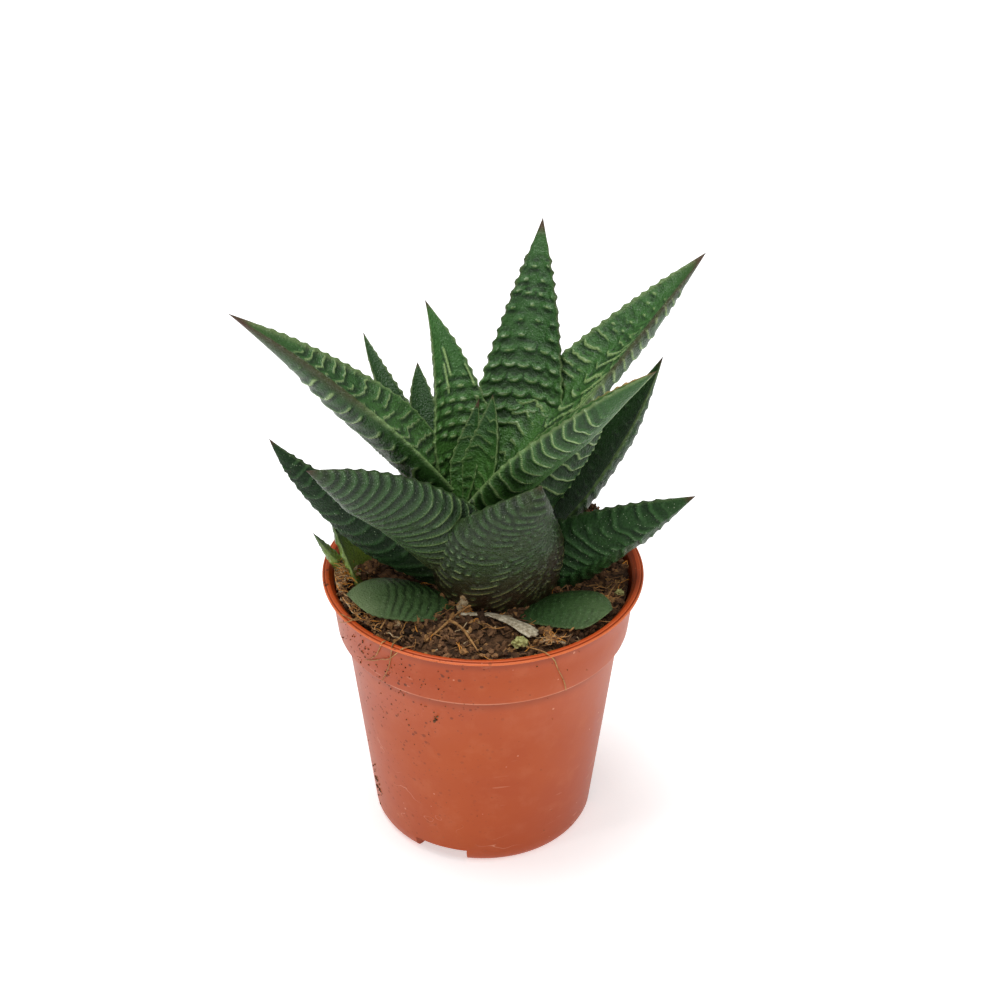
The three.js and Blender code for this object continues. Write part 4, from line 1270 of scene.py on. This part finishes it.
def pot_finish(looks):
    """Thin moulded terracotta-coloured plastic with scuffs, specks and a bright rim, with painted
    shade under the band, under the lip and in its groove, and painted highlights on the edges.
    """
    skin = Finish("pot_plastic")
    x, y, z = skin.axes()
    cloud = skin.noise(28, 4)
    mottle = skin.noise(160, 4, 0.6)
    colour = skin.mix(cloud.ease(0.3, 0.7), looks.pot, looks.pot_deep)
    colour = skin.mix(mottle.ease(0.45, 0.8) * 0.22, colour, looks.pot_dust)
    # Painted shade under the band and the lip, and a painted highlight on the band's foot edge.
    under_band = z.between(mm(BAND_FOOT - 5, BAND_FOOT - 1.1), mm(BAND_FOOT, BAND_FOOT + 0.1))
    under_lip = z.between(mm(LIP_FOOT - 4, LIP_FOOT - 1.3), mm(LIP_FOOT - 0.1, LIP_FOOT))
    colour = skin.mix((under_band + under_lip) * 0.55, colour, looks.pot_painted_shade)
    # Painted highlight along the band's foot edge, broken into patches.
    foot_edge_highlight = z.between(
        mm(BAND_FOOT - 0.1, BAND_FOOT + 0.05), mm(BAND_FOOT + 0.2, BAND_FOOT + 0.7)
    )
    highlight_patches = skin.noise(70, 3).ease(0.4, 0.62)
    colour = skin.mix(foot_edge_highlight * (0.12 + 0.4 * highlight_patches), colour, looks.pot_scuff_and_highlight)
    # The lip: brighter all over, painted shade in its groove and along its inner edge, painted
    # highlights on its two crests.
    lip = z.ease(*mm(LIP_FOOT - 0.1, LIP_FOOT))
    colour = skin.mix(lip * 0.4, colour, looks.pot_rim)
    around = (x * x + y * y) ** 0.5
    groove = around.between(
        mm(LIP_GROOVE - 0.18, LIP_GROOVE - 0.06), mm(LIP_GROOVE + 0.1, LIP_GROOVE + 0.22)
    )
    inner_edge = around.ease(*mm(BAND_TOP_RADIUS + 0.05, BAND_TOP_RADIUS + 0.25), 1.0, 0.0)
    groove = groove * lip + inner_edge * lip * 0.7
    colour = skin.mix(groove * 0.5, colour, looks.pot_painted_shade)
    # Painted highlights on the lip's two crests.
    outer_crest = around.ease(*mm(RIM_RADIUS - 0.4, RIM_RADIUS - 0.2)) * lip
    inner_crest = around.ease(*mm(LIP_GROOVE - 0.46, LIP_GROOVE - 0.26)) * lip * (1 - groove)
    colour = skin.mix((outer_crest + inner_crest) * 0.3, colour, looks.pot_edge)
    # Pale scuffs and hair-thin scratches, few and far apart.
    line = skin.noise(140, 1, 0.5, skin.stretched((1, 1, 6.0), (0.3, 0.9, 0)))
    scuff = line.ease(0.7, 0.74) * cloud.ease(0.5, 0.62)
    colour = skin.mix(scuff * 0.2, colour, looks.pot_scuff_and_highlight)
    hair = skin.noise(95, 2, 0.5, skin.stretched((1, 1, 1.4), (0.7, 0.3, 0.2)))
    hair = hair.between((0.494, 0.499), (0.501, 0.506))
    hair = hair * skin.noise(42, 2, 0.6, skin.stretched((1, 1, 1), (0, 0, 1.1))).ease(0.6, 0.68)
    colour = skin.mix(hair * 0.5, colour, looks.pot_scuff_and_highlight)
    # Soil specks, thicker on the viewer's left and towards the rim, and pale dust specks.
    left = (x * -1.0 + y * -0.35).ease(*mm(-5, 34))
    upper = z.ease(*mm(30, 62), 0.35, 1.0)
    spots = skin.specks(380, 120, 0.4, 0.03, 0.06) * left * upper
    grit = skin.specks(620, 200, 0.42, 0.05, 0.08) * left * upper
    speck = spots + grit * 0.8
    dirt = skin.noise(420, 4, 0.7).ease(0.66, 0.74) * skin.noise(55, 2).ease(0.55, 0.66) * left
    colour = skin.mix(speck * 0.85, colour, looks.speck)
    colour = skin.mix(dirt * 0.6, colour, looks.speck)
    colour = skin.mix(skin.specks(260, 90, 0.3, 0.1, 0.13, 1) * 0.5, colour, looks.pot_scuff_and_highlight)
    skin.relief(skin.noise(900, 3) * 0.5 + speck * 1.2 + cloud, 0.0001, 0.35)
    return skin.finished(colour, 0.36 + 0.12 * mottle + 0.25 * speck, 0.25)


def soil_finish(looks):
    """Dark, damp peat between the crumbs."""
    skin = Finish("peat_soil")
    lumps = skin.noise(420, 6, 0.7)
    flecks = skin.cells(900, output="Color")
    shade = skin.add("ShaderNodeSeparateColor", {}, {0: flecks}, 0)
    colour = skin.mix(lumps.ease(0.35, 0.7), looks.soil_dark, looks.soil_mid)
    colour = skin.mix(shade.ease(0.86, 0.95) * 0.7, colour, looks.soil_tan)
    skin.relief(lumps + skin.noise(1400, 3) * 0.4, 0.0012, 1.0)
    return skin.finished(colour, 0.92, 0.2)


def crumb_finish(looks):
    """Peat crumbs, bark and grit: each crumb has its own tint value."""
    skin = Finish("soil_crumb")
    tint = skin.value("tint")
    grain = skin.noise(1600, 4, 0.65)
    colour = skin.ramp(
        tint + (grain - 0.5) * 0.5,
        (0.0, looks.soil_dark), (0.35, looks.soil_mid), (0.62, looks.soil_warm),
        (0.86, looks.soil_tan), (1.0, looks.soil_pale),
    )
    colour = skin.mix(grain.ease(0.5, 0.3) * 0.35, colour, looks.soil_dark)
    skin.relief(grain + skin.noise(4200, 2) * 0.4, 0.0008, 1.0)
    return skin.finished(colour, 0.85, 0.25)


def fibre_finish(name, light, dark, scale):
    """Dry root or stalk, or the stem's flesh: streaked along its length."""
    skin = Finish(name)
    streak = skin.noise(scale, 4, 0.65)
    broad = skin.noise(scale / 6, 2)
    colour = skin.mix(streak.ease(0.3, 0.7), dark, light)
    colour = skin.mix(broad.ease(0.55, 0.75) * 0.5, colour, dark)
    skin.relief(streak, 0.0003, 0.7)
    return skin.finished(colour, 0.75, 0.25)


def straw_finish(looks):
    """Fine roots and straw on the soil, from dark to pale by their tint value."""
    skin = Finish("soil_fibre")
    grain = skin.noise(1400, 3, 0.6)
    colour = skin.ramp(
        skin.value("tint") + (grain - 0.5) * 0.4,
        (0.0, looks.soil_mid), (0.5, looks.soil_tan), (0.8, looks.straw), (1.0, looks.soil_pale),
    )
    return skin.finished(colour, 0.8, 0.25)


def prill_finish(name, light, dark):
    """Chalky, porous crumb."""
    skin = Finish(name)
    pores = skin.cells(2600)
    grain = skin.noise(1200, 4, 0.6)
    colour = skin.mix(grain.ease(0.35, 0.65), dark, light)
    colour = skin.mix(pores.ease(0.25, 0.05) * 0.5, colour, dark)
    skin.relief(pores + grain, 0.0004, 0.8)
    return skin.finished(colour, 0.8, 0.3)


def floor_finish(looks):
    """Pale floor that glows a little, and more the further it is from the pot."""
    skin = Finish("pale_floor")
    colour = skin.mix(skin.noise(3, 2) * 0.5, looks.floor, tuple(0.985 * c for c in looks.floor))
    away = skin.add("ShaderNodeVectorMath", {"operation": "LENGTH"}, {0: skin.place()}, "Value")
    glow = skin.mix(away.ease(0.08, 0.7), GLOW_NEAR, GLOW_FAR)
    skin.put(skin.surface.inputs["Emission Color"], glow)
    skin.put(skin.surface.inputs["Emission Strength"], 1.0)
    return skin.finished(colour, 0.9, 0.1)


def dress(piece, material, slot, *nodes):
    """Gives the piece its material, its body and its nodes. The slot is not used."""
    piece.data.materials.clear()
    piece.data.materials.append(material)
    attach(piece, "root")
    if nodes:
        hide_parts(*nodes)
    return piece


def dress_parts(name, parts, material, slot, *nodes, smooth=True):
    """Makes one dressed piece of many small bodies, each with its own tint value."""
    vertices, faces, tint = joined(parts)
    dress(new_object(name, vertices, faces, {"tint": tint}, smooth), material, slot, *nodes)


# Settings


def srgb(red, green, blue):
    """A linear colour from the usual 0 to 255 screen numbers."""
    return tuple(
        c / 12.92 if c <= 0.04045 else ((c + 0.055) / 1.055) ** 2.4
        for c in (red / 255, green / 255, blue / 255)
    )


def colour_setting(name, description, red, green, blue):
    """A colour that the user can change, from screen numbers."""
    return bpy.props.FloatVectorProperty(
        name=name, description=description, subtype="COLOR", size=3, min=0, max=1,
        default=srgb(red, green, blue),
    )


def count_setting(name, description, default, top):
    """A number of pieces that the user can change, from none to the top."""
    return bpy.props.IntProperty(
        name=name, description=description, default=default, min=0, max=top
    )


class HaworthiaLeafLooks(bpy.types.PropertyGroup):
    deep_green: colour_setting("Deep green", "Leaf skin in the shaded outer leaves", 16, 36, 15)
    bright_green: colour_setting("Bright green", "Leaf skin in the lit inner leaves", 60, 106, 46)
    dusk_green: colour_setting("Dusk green", "Blotches in the leaf skin", 30, 66, 28)
    # Painted shade for the hollows between the ridges.
    painted_cleft_shade: colour_setting("Cleft green", "Hollows between the ridges", 10, 24, 11)
    # Waxy grains in the skin, and the painted highlight on the ridge tops.
    pale_grain_and_highlight: colour_setting("Pale green", "Waxy grains in the leaf skin", 78, 116, 70)
    # Colour of the painted glints on the tubercle caps and of the painted glint specks.
    painted_glint: colour_setting("Spark", "Bright caps of the tubercles", 178, 196, 160)
    # Fresher foot of the inner leaves, partly painted light shining through them; also the stem's
    # pale streaks.
    lush_green: colour_setting("Lush green", "Fresh lower part of the inner leaves", 72, 116, 48)
    wax_green: colour_setting("Wax green", "Pale bloom on the soil leaves", 110, 128, 88)
    ridge_green: colour_setting("Ridge green", "Ridges, tubercles and rims", 156, 182, 118)
    faint_rib: colour_setting("Faint ridge", "Ridges on the darkest leaves", 64, 92, 62)
    foot_brown: colour_setting("Foot brown", "Foot of the outer leaves", 46, 31, 16)
    foot_rib: colour_setting("Foot ridge", "Ridges on the brown foot", 146, 132, 84)
    tip_brown: colour_setting("Tip brown", "Dry leaf tips and dark rims", 78, 48, 38)
    rim_orange: colour_setting("Rim orange", "Sun-stressed rim near a tip", 196, 140, 78)
    blush_brown: colour_setting("Blush", "Sun blush towards the outer tips", 66, 58, 32)
    pup_green: colour_setting("Offset green", "Leaves of the young offset", 140, 166, 62)


class HaworthiaPotLooks(bpy.types.PropertyGroup):
    pot: colour_setting("Pot", "Terracotta-coloured plastic", 175, 75, 23)
    pot_deep: colour_setting("Pot deep", "Darker clouds in the plastic", 167, 67, 20)
    # Painted shade under the band and the lip, in the lip's groove and along its inner edge.
    pot_painted_shade: colour_setting("Pot shade", "Soil and shade under the band", 120, 48, 22)
    pot_dust: colour_setting("Pot dust", "Dusty bloom", 196, 112, 76)
    pot_rim: colour_setting("Pot rim", "Bright edge of the rim", 222, 84, 32)
    pot_edge: colour_setting("Pot edge", "Light caught on the rim's edges", 232, 126, 74)
    # Pale scuffs, scratches and dust specks, and the painted highlight on the band's foot edge.
    pot_scuff_and_highlight: colour_setting("Pot scuffs", "Pale scuffs and scratches", 222, 158, 126)
    speck: colour_setting("Specks", "Soil specks on the pot", 92, 52, 36)


class HaworthiaSoilLooks(bpy.types.PropertyGroup):
    soil_dark: colour_setting("Soil dark", "Damp gaps", 46, 33, 23)
    soil_mid: colour_setting("Soil mid", "Peat", 120, 87, 60)
    soil_warm: colour_setting("Soil warm", "Bark crumbs", 156, 115, 80)
    soil_tan: colour_setting("Soil tan", "Dry crumbs", 196, 146, 90)
    soil_pale: colour_setting("Soil pale", "Palest grit", 210, 190, 152)
    straw: colour_setting("Straw", "Orange-tan root tangles", 236, 156, 62)
    stalk_pale: colour_setting("Stalk pale", "Streaks of the dried stalk", 228, 218, 192)
    stalk_dark: colour_setting("Stalk dark", "Between its streaks", 160, 144, 114)
    root_pale: colour_setting("Root pale", "Streaks of the loose roots", 196, 152, 96)
    root_dark: colour_setting("Root dark", "Between their streaks", 136, 92, 52)
    prill_pale: colour_setting("Grain pale", "Yellow-green feed grains", 206, 206, 138)
    prill_dark: colour_setting("Grain dark", "Pores of the feed grains", 160, 158, 92)
    crumbs: count_setting("Crumbs", "How many crumbs lie on the soil", 1900, 2400)
    chips: count_setting("Chips", "How many straw and bark chips lie about", 420, 600)
    fibres: count_setting("Fibres", "How many loose fibres lie on the soil", 150, 300)


class HaworthiaStageLooks(bpy.types.PropertyGroup):
    floor: colour_setting("Floor", "Plain pale floor", 250, 250, 250)
    distance: bpy.props.FloatProperty(
        name="Distance", description="From the camera to the pot's rim centre", default=0.6,
        min=0.1, unit="LENGTH", subtype="DISTANCE",
    )
    elevation: bpy.props.FloatProperty(
        name="Elevation", description="Camera height above the horizon",
        default=math.radians(34.45), subtype="ANGLE",
    )
    key_power: bpy.props.FloatProperty(
        name="Key light", description="Strength of the main soft light", default=6.5, min=0,
        unit="POWER",
    )


# Operators


class HAWORTHIA_OT_pot(bpy.types.Operator):
    """Turns the pot ring by ring and cuts its three foot pockets and drain holes"""

    bl_idname = "haworthia.pot"
    bl_label = "Pot"

    def execute(self, context):
        pot = lathe("pot_shell", pot_profile(), segments=160)
        roof = POCKET_HEIGHT + FLOOR
        inner = POCKET_INNER - WALL
        for angle in POCKET_ANGLES:
            block = wedge(inner, POCKET_OUTER, angle, POCKET_OPENING + 5, FLOOR - 0.6, roof)
            cut(pot, block, "UNION")
            cut(pot, wedge(POCKET_INNER, BEYOND_POT, angle, POCKET_OPENING, -1, POCKET_HEIGHT))
            bpy.ops.object.select_all(action="DESELECT")
            x, y = polar(DRAIN_PLACE, math.radians(angle))
            bpy.ops.mesh.primitive_cylinder_add(
                vertices=32, radius=DRAIN_RADIUS * MM, depth=6 * MM, location=mm(x, y, roof)
            )
            cut(pot, bpy.context.active_object)
        only(pot)
        bpy.ops.object.shade_smooth_by_angle(angle=math.radians(32))
        dress(pot, pot_finish(context.scene.haworthia_pot), "pot_plastic", "pot")
        return {"FINISHED"}


class HAWORTHIA_OT_soil(bpy.types.Operator):
    """Lays the soil bed with its crumbs, bark and fibres"""

    bl_idname = "haworthia.soil"
    bl_label = "Soil"

    def execute(self, context):
        looks = context.scene.haworthia_soil
        draw = np.random.default_rng(SEED)
        bed = new_object("soil_bed", *soil_bed())
        inner, roof = POCKET_INNER - 1.7, POCKET_HEIGHT + 1.8
        for angle in POCKET_ANGLES:
            cut(bed, wedge(inner, BEYOND_POT, angle, POCKET_OPENING + 7, 0, roof))
        dress(bed, soil_finish(looks), "peat_soil", "soil")

        coarse = crumb_shapes(8, 2, SEED)
        plain = crumb_shapes(8, 1, SEED + 50)
        crumbs = loose_crumbs(draw, looks.crumbs, coarse, plain)
        crumbs += heaped_crumbs(draw, coarse, plain)
        dress_parts("soil_crumbs", crumbs, crumb_finish(looks), "peat_soil", smooth=False)
        chips = loose_chips(draw, looks.chips)
        dress_parts("soil_chips", chips, crumb_finish(looks), "peat_soil", smooth=False)
        fibres = loose_fibres(draw, looks.fibres) + tangled_fibres(draw)
        dress_parts("soil_fibres", fibres, straw_finish(looks), "root_fibre")
        return {"FINISHED"}


class HAWORTHIA_OT_splashes(bpy.types.Operator):
    """Sticks the stray soil crumbs to the outside of the pot"""

    bl_idname = "haworthia.splashes"
    bl_label = "Stray crumbs"

    def execute(self, context):
        draw = np.random.default_rng(SEED + 5)
        crumbs = stray_crumbs(draw, crumb_shapes(4, 1, SEED + 90))
        finish = crumb_finish(context.scene.haworthia_soil)
        dress_parts("stray_crumbs", crumbs, finish, "peat_soil", smooth=False)
        return {"FINISHED"}


class HAWORTHIA_OT_leaves(bpy.types.Operator):
    """Grows every leaf of the rosette and of its young offset"""

    bl_idname = "haworthia.leaves"
    bl_label = "Leaves"

    def execute(self, context):
        looks = context.scene.haworthia_leaves
        slots = {entry["node"]: entry["material_slot"] for entry in frame["record"]["subparts"]}
        skins = {}
        for number, (node, leaf) in enumerate(LEAVES.items()):
            piece = new_object(node + "_skin", *leaf_mesh(leaf, number * 3 + 1))
            face_outwards(piece)
            slot = slots[node]
            if slot not in skins:
                skins[slot] = leaf_finish(slot + "_skin", looks)
            dress(piece, skins[slot], slot, node)
        return {"FINISHED"}


class HAWORTHIA_OT_stem(bpy.types.Operator):
    """Gives the short stem its fleshy finish"""

    bl_idname = "haworthia.stem"
    bl_label = "Stem"

    def execute(self, context):
        looks = context.scene.haworthia_leaves
        flesh = fibre_finish("stem_flesh", looks.lush_green, looks.foot_brown, 500)
        for material_slot in frame["nodes"]["stem"].material_slots:
            material_slot.material = flesh
        return {"FINISHED"}


class HAWORTHIA_OT_litter(bpy.types.Operator):
    """Adds the dried stalk, the loose roots and the grains of slow-release feed"""

    bl_idname = "haworthia.litter"
    bl_label = "Litter"

    def execute(self, context):
        looks = context.scene.haworthia_soil
        husk = fibre_finish("dried_plant", looks.stalk_pale, looks.stalk_dark, 1100)
        dress_parts("dried_stalk_husk", stalk_parts(), husk, "dried_plant", "dried_stalk")
        tan = fibre_finish("root_fibre", looks.root_pale, looks.root_dark, 1300)
        for number, (name, (path, thickness)) in enumerate(ROOTS.items()):
            vertices, faces = strand_mesh(
                path, thickness, sides=8, steps=44, seed=number + 2, knobs=0.3, taper=0.45
            )
            root = new_object(name + "_fibre", vertices, faces)
            dress(root, tan, "root_fibre", *(["root_front"] if name == "root_front" else []))
        for name, (middle, radius) in PRILLS.items():
            points, polygons = crumb_shapes(1, 3, 9)[0]
            points = points * radius * 0.93 * np.array([1.05, 0.8, 0.75]) + np.array(middle)
            prill = new_object(name + "_chalk", points, polygons, smooth=False)
            dress(prill, prill_finish(name, looks.prill_pale, looks.prill_dark), "prill", name)
        return {"FINISHED"}


class HAWORTHIA_OT_stage(bpy.types.Operator):
    """Sets the pale floor, the soft studio light and the camera"""

    bl_idname = "haworthia.stage"
    bl_label = "Stage"

    def execute(self, context):
        looks = context.scene.haworthia_stage
        bpy.ops.object.select_all(action="DESELECT")
        bpy.ops.mesh.primitive_circle_add(vertices=96, radius=FLOOR_RADIUS, fill_type="NGON")
        floor = context.active_object
        floor.name = "floor"
        floor.data.materials.append(floor_finish(looks))

        world = bpy.data.worlds.new("studio")
        world.use_nodes = True
        background = world.node_tree.nodes["Background"]
        background.inputs["Color"].default_value = (1, 1, 1, 1)
        background.inputs["Strength"].default_value = SKY_STRENGTH
        context.scene.world = world

        for name, (place, size, share) in LIGHTS.items():
            bpy.ops.object.light_add(type="AREA", location=place)
            light = context.active_object
            light.name = name
            light.data.shape = "DISK"
            light.data.size = size
            light.data.energy = looks.key_power * share
            aim = Vector(LIGHT_AIM) - Vector(place)
            light.rotation_euler = aim.to_track_quat("-Z", "Y").to_euler()

        target = Vector((0, 0, POT_HEIGHT * MM))
        back = Vector((0, -math.cos(looks.elevation), math.sin(looks.elevation)))
        bpy.ops.object.camera_add(location=target + back * looks.distance)
        camera = context.active_object
        camera.name = "camera"
        camera.rotation_euler = (-back).to_track_quat("-Z", "Y").to_euler()
        camera.data.sensor_width = SENSOR_WIDTH
        camera.data.lens = LENS
        camera.data.shift_x, camera.data.shift_y = LENS_SHIFT
        camera.data.clip_start = 0.01
        context.scene.camera = camera
        context.scene.view_settings.view_transform = "Standard"
        return {"FINISHED"}


class HAWORTHIA_PT_panel(bpy.types.Panel):
    """Lists the pieces and their settings"""

    bl_idname = "HAWORTHIA_PT_panel"
    bl_label = "Potted haworthia"
    bl_space_type = "VIEW_3D"
    bl_region_type = "UI"
    bl_category = "Haworthia"

    def draw(self, context):
        scene = context.scene
        for title, group, operators in PANEL_PARTS:
            box = self.layout.box()
            box.label(text=title)
            settings = getattr(scene, group)
            for key in settings.__annotations__:
                box.prop(settings, key)
            for operator in operators:
                box.operator(operator)


PANEL_PARTS = (
    ("Pot", "haworthia_pot", ("haworthia.pot",)),
    ("Soil", "haworthia_soil", ("haworthia.soil", "haworthia.litter", "haworthia.splashes")),
    ("Leaves", "haworthia_leaves", ("haworthia.leaves", "haworthia.stem")),
    ("Stage", "haworthia_stage", ("haworthia.stage",)),
)

GROUPS = {
    "haworthia_leaves": HaworthiaLeafLooks,
    "haworthia_pot": HaworthiaPotLooks,
    "haworthia_soil": HaworthiaSoilLooks,
    "haworthia_stage": HaworthiaStageLooks,
}

CLASSES = (
    *GROUPS.values(),
    HAWORTHIA_OT_pot,
    HAWORTHIA_OT_soil,
    HAWORTHIA_OT_splashes,
    HAWORTHIA_OT_leaves,
    HAWORTHIA_OT_stem,
    HAWORTHIA_OT_litter,
    HAWORTHIA_OT_stage,
    HAWORTHIA_PT_panel,
)


def register():
    for cls in CLASSES:
        bpy.utils.register_class(cls)
    for name, group in GROUPS.items():
        setattr(bpy.types.Scene, name, bpy.props.PointerProperty(type=group))


def unregister():
    for name in GROUPS:
        delattr(bpy.types.Scene, name)
    for cls in reversed(CLASSES):
        bpy.utils.unregister_class(cls)


def main():
    """Registers the add-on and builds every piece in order."""
    register()
    bpy.ops.haworthia.stage()
    bpy.ops.haworthia.pot()
    bpy.ops.haworthia.soil()
    bpy.ops.haworthia.stem()
    bpy.ops.haworthia.leaves()
    bpy.ops.haworthia.litter()
    bpy.ops.haworthia.splashes()


if __name__ == "__main__":
    main()
